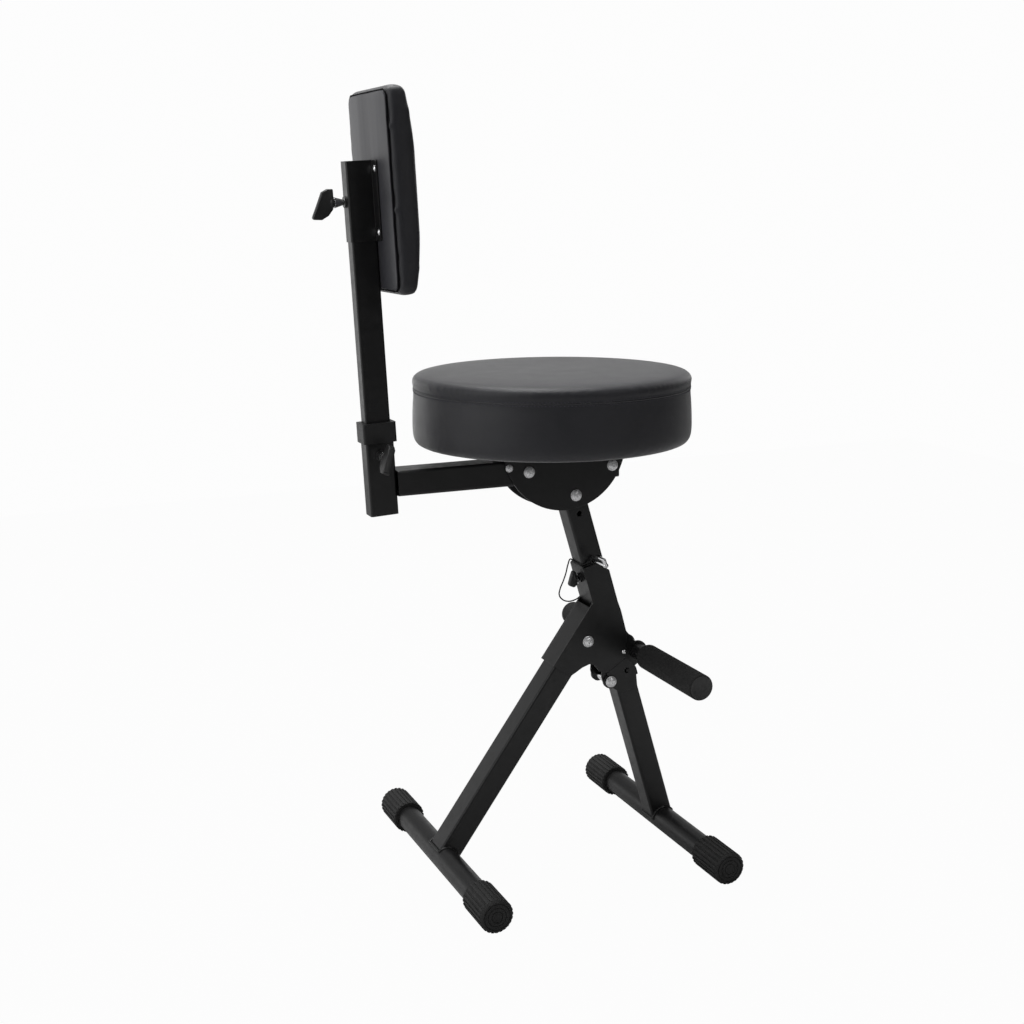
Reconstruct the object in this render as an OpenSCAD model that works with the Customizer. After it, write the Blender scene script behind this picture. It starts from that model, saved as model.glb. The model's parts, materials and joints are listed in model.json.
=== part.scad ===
// Folding guitar stool: a round padded seat on a leaning column, a back pad on a sliding post,
// a round footrest, and a two-leg base whose front leg folds back against the rear leg.
// X points the way the player faces, Y to the player's left, Z up; the floor is at Z = 0.

/* [Base] */
// Depth of the base over the end caps
base_depth = 360; // [320:1:400]
// Width of the base over the end caps
base_width = 381; // [300:1:440]
// Outer diameter of the two foot tubes
foot_d = 32; // [28:0.5:34]
// Wall of the foot tubes
foot_wall = 1.5; // [1:0.1:2.5]
// Diameter of the end caps over their ribs
cap_d = 43; // [40:0.5:48]
// Length of an end cap
cap_l = 60; // [40:1:80]
// Height of the ribs on the end caps
cap_rib_h = 1.2; // [0.6:0.1:1.8]
// Number of ribs round an end cap
cap_ribs = 24; // [12:2:32]
// Thickness of the closed end of a cap
cap_end = 4; // [3:0.5:6]

/* [Legs and column] */
// Distance of the column bolt ahead of the middle of the base; the column leans to reach it
column_bolt_x = 25.3; // [22:0.1:32]
// Width of a leg tube in the plane of the fold
leg_w = 30; // [26:0.5:31]
// Wall of the leg tubes
leg_wall = 1.8; // [1.2:0.1:2.5]
// Side of the square column tube
col_w = 31; // [28:0.5:31.5]
// Wall of the column tube
col_wall = 1.6; // [1.2:0.1:2.5]
// Corner radius of the square tubes
tube_r = 3; // [2:0.5:4]
// Distance from the front foot tube to the lower end of the column
col_low = 285; // [280:1:300]

/* [Hub] */
// Distance from the front foot tube to the rim of the column sleeve
rim_s = 385; // [375:1:392]
// Front and rear wall of the column sleeve
sleeve_wall = 1.3; // [1.2:0.05:2.5]
// Side wall of the column sleeve, which runs down as the fold lug
lug_t = 2; // [1.5:0.1:3]
// Thickness of a hub side plate
hub_t = 2.5; // [2:0.1:3.5]
// Distance from the column's centre line back to the hub bolt, which the rear leg leans to reach
hub_bolt_back = 37.9; // [36:0.1:40]
// Distance from the front foot tube to the hub bolt, along the column
hub_bolt_s = 289.3; // [286:0.1:292]
// Slope of the corner cut off the front of the sleeve
rim_cut = 15; // [10:0.5:16]
// Diameter of the dome head bolts
bolt_d = 8; // [6:0.5:9]
// Diameter of a dome head
head_d = 13.3; // [12:0.1:15]
// Height of a dome head
head_h = 4.6; // [3:0.1:6]

/* [Fold joint] */
// Distance from the front foot tube to the fold pivot, along the leg
pivot_s = 223.5; // [220:0.5:226]
// Distance of the fold pivot behind the leg's centre line
pivot_back = 22.7; // [21.5:0.1:25]
// Radius of the lugs and ears round the pivot
ear_r = 9.5; // [8.5:0.1:10.5]
// Distance from the pivot up to the hub edge that the ears stop against
stop_rise = 13.4; // [13:0.1:14]
// Slope of that edge across the leg, in degrees
stop_slope = 17; // [15:0.5:19]
// Gap between the ears and the hub edge when the leg is open
stop_gap = 0.3; // [0.2:0.05:0.5]
// Diameter of the chrome spacer between the lugs
spacer_d = 11; // [10:0.5:12]

/* [Footrest] */
// Length of the footrest over its grips
footrest_l = 375; // [300:1:420]
// Diameter of the footrest bar
bar_d = 21; // [18:0.5:22]
// Diameter of the foam grips
grip_d = 33; // [29:0.5:35]
// Distance from the stool's middle to the inner end of a grip
grip_from = 45; // [36:1:60]
// Distance from the front foot tube to the bar, along the leg
bar_s = 247; // [246:0.5:250]

/* [Height lock] */
// Diameter of the lock pin
pin_d = 7; // [6:0.5:8]
// Distance between the height holes of the column
hole_step = 64; // [55:1:65]
// Distance from the stool's middle to the lock pin's hook, on the player's right
pin_out = 55; // [46:1:60]
// Length of the hook that turns back over the pin
pin_hook = 13; // [10:1:16]
// Diameter of the ball on the pin's hook
ball_d = 8; // [7:0.5:9]

/* [Seat bracket] */
// Radius of the half-round cheeks under the seat
cheek_r = 84; // [80:0.5:90]
// Thickness of a cheek
cheek_t = 2.5; // [2:0.1:3.5]
// Height of the arm tube
arm_h = 31.5; // [28:0.5:34]
// Width of the arm tube
arm_w = 36; // [34:0.5:40]
// Wall of the arm tube
arm_wall = 1.6; // [1.2:0.1:2.5]
// Height of the arm's centre line above the floor
arm_z = 518; // [515:0.5:522]
// Front end of the arm, ahead of the middle of the base
arm_front = 86; // [80:1:90]

/* [Seat] */
// Diameter of the seat
seat_d = 351; // [320:1:370]
// Height of the seat's top rim above the floor
seat_top = 633; // [628:1:650]
// Thickness of the seat with its board
seat_t = 80; // [74:1:86]
// Rise of the seat's middle over its rim
seat_crown = 10; // [4:0.5:14]
// Thickness of the seat board
board_t = 12; // [9:0.5:18]
// Thickness of the steel plate under the seat
plate_t = 3; // [2:0.1:4]

/* [Back post] */
// Height of the middle of the post sleeve above the floor
post_z = 533.5; // [530:0.5:537]
// Distance of the post behind the middle of the base
post_back = 227.5; // [224:0.5:234]
// Lean of the post from the vertical, in degrees
post_lean = 2.5; // [2:0.1:5]
// Depth of the post tube, front to back
post_d = 31; // [28:0.5:32]
// Width of the post tube, side to side
post_w = 20; // [18:0.5:22]
// Wall of the post tube
post_wall = 1.5; // [1.2:0.1:2.2]
// Length of the post sleeve
post_sleeve_l = 108; // [100:1:116]
// Length of the post
post_l = 407; // [400:1:410]

/* [Backrest] */
// Width of the backrest
back_w = 152; // [140:1:180]
// Height of the backrest
back_h = 235; // [200:1:240]
// Thickness of the back board
back_board_t = 10; // [8:0.5:15]
// Thickness of the back pad at its corners
pad_edge_t = 14; // [12:0.5:22]
// Rise of the back pad's edges towards the middle of each side
pad_swell = 9; // [4:0.5:12]
// Rise of the back pad's middle over its edges
pad_crown = 8; // [4:0.5:14]
// Corner radius of the backrest
back_r = 12; // [10:1:24]
// Height of the backrest's middle over the middle of the post sleeve
back_rise = 328.5; // [324:0.5:334]
// Length of the back bracket along the post
bracket_l = 92; // [80:1:100]
// Width of the back bracket's flange
bracket_w = 56; // [52:1:70]

/* [Wing knobs] */
// Length of the back knobs from their clamping face to their far end
knob_reach = 38; // [32:1:42]
// Length of the back knobs' paddle
knob_span = 34; // [28:1:38]
// Thickness of the paddle
knob_t = 9; // [7:0.5:11]
// Diameter of the clamping stud
stud_d = 6; // [5:0.5:8]

/* [Hidden] */
$fn = 48;
// Clearance round a tube that slides in a sleeve
slide_gap = 0.25;
// Radial clearance of a bolt or pin in its hole
pin_gap = 0.05;
// Clearance between a piece at rest and what it seats on, where curved
seat_gap = 0.3;
// Overrun of cuts past the face that they open
over = 1;

steel_black = [0.13, 0.13, 0.14];
plastic_black = [0.17, 0.17, 0.18];
rubber_black = [0.10, 0.10, 0.11];
chrome = [0.86, 0.87, 0.88];
vinyl = [0.16, 0.17, 0.21];
felt_grey = [0.62, 0.63, 0.65];

// Places of the base
foot_z = cap_d / 2;
foot_x = (base_depth - cap_d) / 2;
foot_tube_l = base_width - 2 * cap_end;
cap_core_r = cap_d / 2 - cap_rib_h;
rib_edge_shares = [-0.25, 0.25, 0.25, 0.75];
ring_shares = [0.3, 0.52, 0.74];
cap_edge_share = 0.75;
cap_groove_share = 0.2;
grip_end = 3;

// Column bolt and the lean of the column and the front leg
arm_low = arm_z - arm_h / 2;
column_bolt_drop = 18.15;
mast_run = foot_x - column_bolt_x;
mast_rise = arm_low - column_bolt_drop - foot_z;
mast_lean = atan(mast_run / mast_rise);
column_bolt_s = norm([mast_run, mast_rise]);

// Hub bolt, under the rear leg's centre line, and the lean of the rear leg
hub_bolt_drop = 6;
hub_run = 2 * foot_x - hub_bolt_back * cos(mast_lean) - hub_bolt_s * sin(mast_lean);
hub_rise = hub_bolt_s * cos(mast_lean) - hub_bolt_back * sin(mast_lean);
hub_reach = norm([hub_run, hub_rise]);
rear_lean = atan(hub_run / hub_rise) - asin(hub_bolt_drop / hub_reach);
hub_bolt_t = sqrt(hub_reach * hub_reach - hub_bolt_drop * hub_bolt_drop);

// Sizes across the hub, from the column outwards
sleeve_in = col_w + 2 * slide_gap;
sleeve_v = sleeve_in + 2 * sleeve_wall;
lug_in = sleeve_in / 2;
lug_out = lug_in + lug_t;
hub_out = lug_out + hub_t;
ear_gap = 0.3;
ear_in = lug_out + ear_gap;
leg_depth = 2 * lug_out;
bolt_hole_r = bolt_d / 2 + pin_gap;

// Fold joint in the mast frame, as [across, along]
pivot = [-pivot_back, pivot_s];
stop_along = [cos(stop_slope), sin(stop_slope)];
stop_normal = [-sin(stop_slope), cos(stop_slope)];
stop_from = 1.5;
stop_to = 37.5;
function stop_pt(run, rise) = pivot + rise * stop_normal + run * stop_along;

// Places along the hub
hub_low = stop_pt(0, stop_rise)[1];
hub_h = rim_s - hub_low;
sleeve_low_share = 0.19;
sleeve_low = hub_low + hub_h * sleeve_low_share;
leg_top_drop = 5;
leg_top_s = pivot_s - leg_top_drop;
lobe_l = 51;
lobe_t = hub_bolt_t - lobe_l;
strap_w = leg_w / 2 + hub_t;
leg_clear = 5;
lobe_run = 8;
washer_t = 1;
ear_drop = 22;
ear_low = pivot_s - ear_drop;
strap_drop = 6;
strap_low = pivot_s - strap_drop;
strap_h = 10;
hub_front_shares = [[0.5, 0.59], [0.53, 0.5], [0.51, 0.28], [0.37, 0.17]];
hub_notch_shares = [[-0.98, 0.045], [-1.12, 0.12], [-1.3, 0.15], [-1.62, 0.148]];
bar_v = lug_in + bar_d / 2;
bar_ring_r = bar_d / 2 + 3.5;
screw_v = 7;
screw_s = 254.5;
small_head_d = 6.4;
small_head_h = 2;
small_bolt_d = 4;
lock_hole = [3.7, 228.6];
lock_hole_r = pin_d / 2 + 0.1;

// Height lock
liner_t = 2;
pin_s = rim_s + liner_t + pin_d / 2 + seat_gap;
pin_hole_r = pin_d / 2 + 0.08;
pin_tail = 5;
hook_r = 2.4;
hook_rise = 7.8;
ball_seat_share = 0.4;
column_knob_s = 368;
eye_y = col_w / 2 + 3;
eye_t = 1.2;
lanyard_d = 1.8;
anchor_v = -3;
anchor_s = 346;
anchor_r = 5;
column_knob_reach = 17;
column_knob_span = 26;
column_cone_l = 3;
// Lanyard's route in the mast frame, from the pin's eye round the column to its screw
lanyard_route = [[-5.2, -19.1, 391], [-8.5, -18, 390], [-13, -16.8, 389], [-16.8, -13, 389],
                 [-16.8, -4, 389], [-16.8, 8, 389.5], [-17, 17, 390], [-20.5, 21.8, 382],
                 [-26, 22.6, 372], [-32.5, 23, 363], [-40, 23, 354], [-43, 23, 347],
                 [-40.5, 23, 339.7], [-35, 22.7, 334.8], [-27, 22.4, 332.6], [-17, 22, 334],
                 [-7.1, 21.4, 342.6]];
// Seat bracket
cheek_in = arm_w / 2;
cheek_out = cheek_in + cheek_t;
seat_z = seat_top - seat_t;
plate_z = seat_z - plate_t;
cheek_x = 11.5;
column_spacer_t = cheek_in - col_w / 2;
arm_bolt_xs = [-39, 76.5];
arm_bolt_z = arm_z + 1;
tip_bolt_x = -66;
tip_bolt_z = arm_z + 8;
tip_head_d = 9;
tip_bolt_d = 5;
seat_screw_d = 5;
seat_screw_head = 10;
seat_screw_in = 10;
screw_place_share = 0.4;
plate_l = 150;
plate_w = 130;

// Seat
seat_x = 1.5;
board_inset = 14;
seat_r = seat_d / 2;
rim_r = 8;
rim_inset = 2.5;
crown_ring_shares = [0.9, 0.75, 0.6, 0.45, 0.3, 0.15];
seat_side_shares = [[0.45, 0], [0.1, 0.05], [0, 0.14], [0.08, 0.3], [0.22, 0.5], [0.22, 0.68],
                    [0.14, 0.84], [0.14, 0.94], [0.2, 0.97]];
rim_core_r = seat_r - rim_inset - rim_r;

// Post and its sleeve
post_in_d = post_d + 2 * slide_gap;
post_in_w = post_w + 2 * slide_gap;
post_sleeve_wall = 1.75;
post_sleeve_d = post_in_d + 2 * post_sleeve_wall;
post_sleeve_w = post_in_w + 2 * post_sleeve_wall;
collar_wall = 3.2;
collar_h = 24;
collar_lip = 5.5;
post_low = -post_sleeve_l / 2 + 10;
post_knob_h = 20;
post_knob_turn = 27;

// Backrest, in the post frame
flange_t = 2;
bracket_wall = 1;
bend_r = 3;
bracket_mid = 319;
board_x = post_in_d / 2;
back_screw_y = 20;
back_screw_h = 36;
back_screw_d = 4.5;
back_screw_head = 9;
back_screw_in = 7;
back_wrap = 3;
pad_round = 22;
back_steps = 12;
edge_share = 0.5;
crown_power = 2.2;
back_side_shares = [[0, 0.08], [0.08, 0], [0.3, 0.04], [0.6, 0.09], [0.84, 0.04], [0.93, 0.1],
                    [0.985, 0.26], [1, 0.4]];

// Wing knobs
stud_cone_l = 12;
stud_cone_r = 6.5;
knob_hub_r = 7.5;
knob_hub_share = 0.32;
boss_r = 6.5;
boss_h = 2.5;
knob_outline_shares = [[0.37, 0.41], [0.66, 0.32], [1, -0.5], [0.74, -0.53], [0.37, -0.24]];

// The bracket knob's lowest corner is the rearmost point of the stool; base_x centres the stool
knob_face = post_in_d / 2 + bracket_wall + boss_h;
knob_tip = [-(knob_face + knob_reach), bracket_mid + knob_outline_shares[2][1] * knob_span];
reach_back = post_back - knob_tip[0] * cos(post_lean) + knob_tip[1] * sin(post_lean);
base_x = (reach_back - base_depth / 2) / 2;

// Frames that the pieces are drawn in
module stool_frame() translate([base_x, 0, 0]) children();
module mast_frame() translate([base_x + foot_x, 0, foot_z]) rotate([0, -mast_lean, 0]) children();
module rear_leg_frame() translate([base_x - foot_x, 0, foot_z]) rotate([0, rear_lean, 0]) children();
module post_frame()
    translate([base_x - post_back, 0, post_z]) rotate([0, -post_lean, 0]) children();

// A point of the rear leg, t along it and w over its centre line, as [across, along] of the mast
fold_sum = rear_lean + mast_lean;
function leg_pt(t, w) =
    [-2 * foot_x * cos(mast_lean) + t * sin(fold_sum) - w * cos(fold_sum),
     2 * foot_x * sin(mast_lean) + t * cos(fold_sum) + w * sin(fold_sum)];
// How far along the rear leg a line at height w meets the rear face of the sleeve
function leg_meets_sleeve(w) =
    (2 * foot_x * cos(mast_lean) - sleeve_v / 2 + w * cos(fold_sum)) / sin(fold_sum);

module along_y(from, to, r) translate([0, from, 0]) rotate([-90, 0, 0]) cylinder(h = to - from, r = r);
// A flat plate between two Y values; its outline is drawn in X and Z
module slab_y(from, to)
    translate([0, to, 0]) rotate([90, 0, 0]) linear_extrude(to - from) children();
// Drawn on the left; side -1 turns it into its mirror image on the right
module on_side(side) mirror([0, side < 0 ? 1 : 0, 0]) children();
module both_sides() for (side = [-1, 1]) on_side(side) children();

module round_rect(w, d, r) {
    square([w - 2 * r, d], center = true);
    square([w, d - 2 * r], center = true);
    for (x = [-1, 1], y = [-1, 1])
        translate([x * (w / 2 - r), y * (d / 2 - r)]) circle(r);
}

module tube(w, d, r, wall, l) linear_extrude(l) difference() {
    round_rect(w, d, r);
    round_rect(w - 2 * wall, d - 2 * wall, r - wall);
}

module bar_solid(w, d, r, l) linear_extrude(l) round_rect(w, d, r);

module dome(d, h) {
    ball = (d * d / 4 + h * h) / (2 * h);
    intersection() {
        translate([0, 0, h - ball]) sphere(ball);
        cylinder(h = h, d = d);
    }
}

// Dome head on the right, shank, dome nut on the left
module through_bolt(x, z, half, shank_d, cap, cap_h) translate([x, 0, z]) {
    along_y(-half, half, shank_d / 2);
    translate([0, -half, 0]) rotate([90, 0, 0]) dome(cap, cap_h);
    translate([0, half, 0]) rotate([-90, 0, 0]) dome(cap, cap_h);
}

// Ribbed cap outline: flat-topped ribs, one of them pointing straight down at the floor
module cap_outline() {
    turn = 360 / cap_ribs;
    rib_r = cap_d / 2 / cos(turn * rib_edge_shares[1]);
    polygon([for (i = [0 : cap_ribs - 1], k = [0 : 3])
        (k < 2 ? rib_r : cap_core_r)
        * [sin((i + rib_edge_shares[k]) * turn), -cos((i + rib_edge_shares[k]) * turn)]]);
}

module foot_tube(x) translate([x, 0, foot_z]) difference() {
    along_y(-foot_tube_l / 2, foot_tube_l / 2, foot_d / 2);
    along_y(-foot_tube_l / 2 - over, foot_tube_l / 2 + over, foot_d / 2 - foot_wall);
}

// Rubber cap on the left end of a foot tube: ribbed sleeve, rounded rim and ringed end
module foot_cap(x) translate([x, 0, foot_z]) difference() {
    intersection() {
        slab_y(base_width / 2 - cap_l, base_width / 2) cap_outline();
        translate([0, base_width / 2 - cap_l, 0]) rotate([-90, 0, 0]) rotate_extrude() cap_profile();
    }
    along_y(base_width / 2 - cap_l - over, base_width / 2 - cap_end, foot_d / 2);
}

module cap_profile() {
    edge = cap_end * cap_edge_share;
    groove = cap_end * cap_groove_share;
    rib_r = cap_d / 2 + over;
    difference() {
        polygon([[0, 0], [cap_core_r, 0], [rib_r, edge / 2], [rib_r, cap_l - edge - over],
                 [cap_d / 2 - edge, cap_l], [0, cap_l]]);
        for (share = ring_shares)
            translate([share * cap_d / 2, cap_l - groove]) square([groove, groove + over]);
    }
}

module rear_foot_tube() color(steel_black) stool_frame() foot_tube(-foot_x);
module front_foot_tube() color(steel_black) stool_frame() foot_tube(foot_x);
module rear_cap(side) color(rubber_black) stool_frame() on_side(side) foot_cap(-foot_x);
module front_cap(side) color(rubber_black) stool_frame() on_side(side) foot_cap(foot_x);

// Rear leg: saddle cut over the foot tube, mitred just short of the column sleeve
module rear_leg() color(steel_black) difference() {
    rear_leg_frame() difference() {
        tube(leg_w, leg_depth, tube_r, leg_wall, leg_meets_sleeve(leg_w));
        along_y(-leg_depth, leg_depth, foot_d / 2);
        hub_bolt_at() along_y(-leg_depth, leg_depth, bolt_hole_r);
    }
    sleeve_clearance();
}

module sleeve_clearance() mast_frame() translate([-sleeve_v / 2 - leg_clear, -leg_depth, 0])
    cube([leg_w * 3, 2 * leg_depth, rim_s]);

module hub_bolt_at() translate([hub_bolt_drop, 0, hub_bolt_t]) children();

// Outline of a hub plate, [across, along] the mast, round from the rear top corner
function hub_share_pt(v, s) = [v * sleeve_v, hub_low + s * hub_h];
module hub_outline() polygon(concat(
    [[-sleeve_v / 2, rim_s], [sleeve_v / 2 - rim_cut, rim_s], [sleeve_v / 2, rim_s - rim_cut]],
    [for (share = hub_front_shares) hub_share_pt(share[0], share[1])],
    [stop_pt(stop_to, stop_rise), stop_pt(stop_from, stop_rise)],
    [for (share = hub_notch_shares) hub_share_pt(share[0], share[1])],
    [leg_pt(lobe_t + lobe_run, -leg_w / 2), leg_pt(lobe_t, -leg_w / 2 + lobe_run / 2),
     leg_pt(lobe_t, strap_w), leg_pt(leg_meets_sleeve(strap_w), strap_w)]));

module hub_plate(side) color(steel_black) on_side(side) mast_frame() difference() {
    slab_y(lug_out, hub_out) hub_outline();
    hub_bolt_in_mast() along_y(lug_in, hub_out + over, bolt_hole_r);
    translate([screw_v, 0, screw_s]) along_y(lug_in, hub_out + over, small_bolt_d / 2 + pin_gap);
}

// Strip over the back of the rear leg, bent from the same sheet as the hub plates
module hub_strap() color(steel_black) difference() {
    mast_frame() slab_y(-lug_out, lug_out)
        polygon([leg_pt(lobe_t, leg_w / 2), leg_pt(lobe_t, strap_w),
                 leg_pt(leg_meets_sleeve(strap_w), strap_w),
                 leg_pt(leg_meets_sleeve(leg_w / 2), leg_w / 2)]);
    sleeve_clearance();
}

module hub_bolt_in_mast() translate([-hub_bolt_back, 0, hub_bolt_s]) children();

module hub_bolt() color(chrome) rear_leg_frame() hub_bolt_at()
    through_bolt(0, 0, hub_out, bolt_d, head_d, head_h);

// Lug outline: it carries the fold pivot behind the column and the footrest bar in front of it
module lug_outline() difference() {
    union() {
        polygon([[-sleeve_v / 2, sleeve_low + ear_r], [pivot[0] - ear_r, pivot[1] + ear_r],
                 [pivot[0] - ear_r, pivot[1]], [pivot[0], pivot[1] - ear_r],
                 [bar_v + 2, bar_s - bar_ring_r], [bar_v + bar_ring_r, bar_s],
                 [bar_v, bar_s + bar_ring_r], [sleeve_v / 2, sleeve_low + 2 * ear_r]]);
        translate(pivot) circle(ear_r);
        translate([bar_v, bar_s]) circle(bar_ring_r);
    }
    translate([bar_v, bar_s]) circle(bar_d / 2);
    translate(pivot) circle(bolt_hole_r);
    translate([screw_v, screw_s]) circle(small_bolt_d / 2 + pin_gap);
    translate(lock_hole) circle(lock_hole_r);
}

// Column sleeve: square tube cut off at the front of its rim, whose side walls run down as lugs
module column_sleeve() color(steel_black) mast_frame() difference() {
    union() {
        translate([0, 0, sleeve_low]) linear_extrude(rim_s - sleeve_low) difference() {
            square([sleeve_v, 2 * lug_out], center = true);
            square(sleeve_in, center = true);
        }
        for (side = [-1, 1])
            slab_y(side > 0 ? lug_in : -lug_out, side > 0 ? lug_out : -lug_in) lug_outline();
        translate([-sleeve_v / 2, 0, column_knob_s]) rotate([0, -90, 0]) cylinder(h = boss_h, r = boss_r);
    }
    translate([0, 0, rim_s]) rim_cutter();
    translate([-lug_in + over, 0, column_knob_s]) rotate([0, -90, 0])
        cylinder(h = sleeve_v, r = stud_d / 2 + pin_gap);
}

// Takes the front corner off everything at the rim
module rim_cutter() translate([sleeve_v / 2 - rim_cut, -leg_depth, 0]) rotate([0, 45, 0])
    cube([2 * rim_cut, 2 * leg_depth, rim_cut]);

module sleeve_liner() color(plastic_black) mast_frame() difference() {
    translate([0, 0, rim_s]) linear_extrude(liner_t) difference() {
        square([sleeve_v, 2 * lug_out], center = true);
        square(sleeve_in, center = true);
    }
    translate([0, 0, rim_s]) rim_cutter();
    translate([sleeve_v / 2 - rim_cut, -leg_depth, rim_s - over])
        cube([sleeve_v, 2 * leg_depth, liner_t + 2 * over]);
}

module pivot_bolt() color(chrome) mast_frame()
    through_bolt(pivot[0], pivot[1], hub_out + washer_t, bolt_d, head_d, head_h);

module pivot_spacer() color(chrome) mast_frame() translate([pivot[0], 0, pivot[1]]) difference() {
    along_y(-lug_in, lug_in, spacer_d / 2);
    along_y(-lug_out, lug_out, bolt_hole_r);
}

module pivot_washers() color(plastic_black) mast_frame() both_sides()
    translate([pivot[0], 0, pivot[1]]) difference() {
        along_y(hub_out, hub_out + washer_t, head_d / 2 + washer_t / 2);
        along_y(lug_in, hub_out + 2 * washer_t, bolt_hole_r);
    }

// Front leg: saddle cut over the foot tube, open top between the ears
module front_leg() color(steel_black) mast_frame() difference() {
    tube(leg_w, col_w, tube_r, leg_wall, leg_top_s);
    along_y(-leg_depth, leg_depth, foot_d / 2);
}

// Fold bracket: two ears that stop against the hub's lower edge, tied by a strap across the front
module ear_outline() {
    front_v = leg_w / 2 + hub_t;
    polygon([stop_pt(stop_from, stop_rise - stop_gap), stop_pt(stop_to, stop_rise - stop_gap),
             [front_v, strap_low + strap_h], [front_v, strap_low], [leg_w / 2, strap_low],
             [leg_w / 2 - tube_r, ear_low], [tube_r - leg_w / 2, ear_low],
             [pivot[0], pivot_s - ear_r], pivot]);
    translate(pivot) circle(ear_r);
}

module fold_bracket() color(steel_black) mast_frame() {
    both_sides() difference() {
        slab_y(ear_in, hub_out) ear_outline();
        translate([pivot[0], 0, pivot[1]]) along_y(lug_in, hub_out + over, bolt_hole_r);
        translate([lock_hole[0], 0, lock_hole[1]]) along_y(lug_in, hub_out + over, lock_hole_r);
    }
    both_sides() slab_y(col_w / 2, ear_in)
        translate([tube_r - leg_w / 2, ear_low]) square([leg_w - 2 * tube_r, leg_top_s - ear_low - tube_r]);
    translate([leg_w / 2, -hub_out, strap_low]) cube([hub_t, 2 * hub_out, strap_h]);
}

module footrest_bar() color(steel_black) mast_frame() translate([bar_v, 0, bar_s]) difference() {
    along_y(-footrest_l / 2 + grip_end, footrest_l / 2 - grip_end, bar_d / 2);
    along_y(-footrest_l / 2, footrest_l / 2, bar_d / 2 - foot_wall);
}

module footrest_grip(side) color(rubber_black) mast_frame() translate([bar_v, 0, bar_s])
    on_side(side) difference() {
        translate([0, grip_from, 0]) rotate([-90, 0, 0]) rotate_extrude()
            grip_profile(footrest_l / 2 - grip_from);
        along_y(grip_from - over, footrest_l / 2 - grip_end, bar_d / 2);
    }

module grip_profile(l) {
    soft = (grip_d - bar_d) / 4;
    square([grip_d / 2 - soft, l]);
    translate([0, soft]) square([grip_d / 2, l - 2 * soft]);
    for (y = [soft, l - soft]) translate([grip_d / 2 - soft, y]) circle(soft);
}

module footrest_screws() color(chrome) mast_frame() both_sides() translate([screw_v, 0, screw_s]) {
    along_y(lug_in, hub_out, small_bolt_d / 2);
    translate([0, hub_out, 0]) rotate([-90, 0, 0]) dome(small_head_d, small_head_h);
}

module column() color(steel_black) difference() {
    mast_frame() difference() {
        translate([0, 0, col_low]) tube(col_w, col_w, tube_r, col_wall, column_bolt_s);
        for (k = [-1, 0, 1]) translate([0, 0, pin_s + k * hole_step]) along_y(-col_w, col_w, pin_hole_r);
        translate([0, 0, column_bolt_s]) along_y(-col_w, col_w, bolt_hole_r);
    }
    stool_frame() translate([-base_depth, -base_depth, arm_low]) cube(2 * base_depth);
}

module column_end_plug() color(plastic_black) mast_frame() translate([0, 0, col_low - col_wall])
    bar_solid(col_w, col_w, tube_r, col_wall);

// Chrome pin through the column, resting on the sleeve's rim; its end hooks back over the shank
module lock_pin() color(chrome) mast_frame() translate([0, 0, pin_s]) {
    along_y(-pin_out, col_w / 2 + pin_tail, pin_d / 2);
    translate([0, -pin_out, 0]) {
        sphere(pin_d / 2);
        cylinder(h = hook_rise, r = hook_r);
        translate([0, 0, hook_rise]) sphere(hook_r);
        translate([0, 0, hook_rise]) along_y(0, pin_hook, hook_r);
    }
    translate([0, col_w / 2 + pin_tail, 0]) rotate([-90, 0, 0]) dome(pin_d, pin_d / 3);
}

module lock_pin_ball() color(plastic_black) mast_frame()
    translate([0, pin_hook - pin_out, pin_s + hook_rise]) intersection() {
        translate([0, ball_d * ball_seat_share, 0]) sphere(ball_d / 2);
        along_y(0, ball_d, ball_d);
    }

// Ring at the lanyard's end, loose round the pin
module lanyard_eye() color(plastic_black) mast_frame() translate([0, 0, pin_s]) difference() {
    along_y(-eye_y - eye_t, -eye_y, pin_d / 2 + eye_t);
    along_y(-eye_y - 2 * eye_t, 0, pin_d / 2 + pin_gap);
}

// Smooth curve through the route, then a ring of points at every step along it
function unit(v) = v / norm(v);
function blend(a, b, c, d, t) =
    0.5 * (2 * b + (c - a) * t + (2 * a - 5 * b + 4 * c - d) * t * t + (3 * b - a - 3 * c + d) * t * t * t);
function smooth(route, steps) = let (n = len(route)) concat(
    [for (i = [0 : n - 2], k = [0 : steps - 1])
        blend(route[max(i - 1, 0)], route[i], route[i + 1], route[min(i + 2, n - 1)], k / steps)],
    [route[n - 1]]);
function heading(path, i) = unit(path[min(i + 1, len(path) - 1)] - path[max(i - 1, 0)]);
function normals(path, i, last) = let (t = heading(path, i), flat = unit(last - (last * t) * t))
    i == len(path) - 1 ? [flat] : concat([flat], normals(path, i + 1, flat));

module cord(route, d, sides, steps) {
    path = smooth(route, steps);
    side_dirs = normals(path, 0, [0, 0, 1]);
    rings = len(path);
    points = [for (i = [0 : rings - 1], k = [0 : sides - 1])
        let (n = side_dirs[i], b = cross(heading(path, i), n), a = k * 360 / sides)
        path[i] + d / 2 * (cos(a) * n + sin(a) * b)];
    sleeve = [for (i = [0 : rings - 2], k = [0 : sides - 1])
        let (a = i * sides + k, b = i * sides + (k + 1) % sides)
        each [[a, a + sides, b], [b, a + sides, b + sides]]];
    ends = [[for (k = [0 : sides - 1]) k], [for (k = [sides - 1 : -1 : 0]) (rings - 1) * sides + k]];
    polyhedron(points, concat(sleeve, ends));
}

module lanyard() color(plastic_black) mast_frame() cord(lanyard_route, lanyard_d, 8, 4);

module lanyard_screw() color(chrome) mast_frame() translate([anchor_v, 0, anchor_s]) {
    along_y(hub_out, hub_out + lanyard_d, anchor_r);
    translate([0, hub_out + lanyard_d, 0]) rotate([-90, 0, 0]) dome(small_head_d, small_head_h);
}

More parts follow.
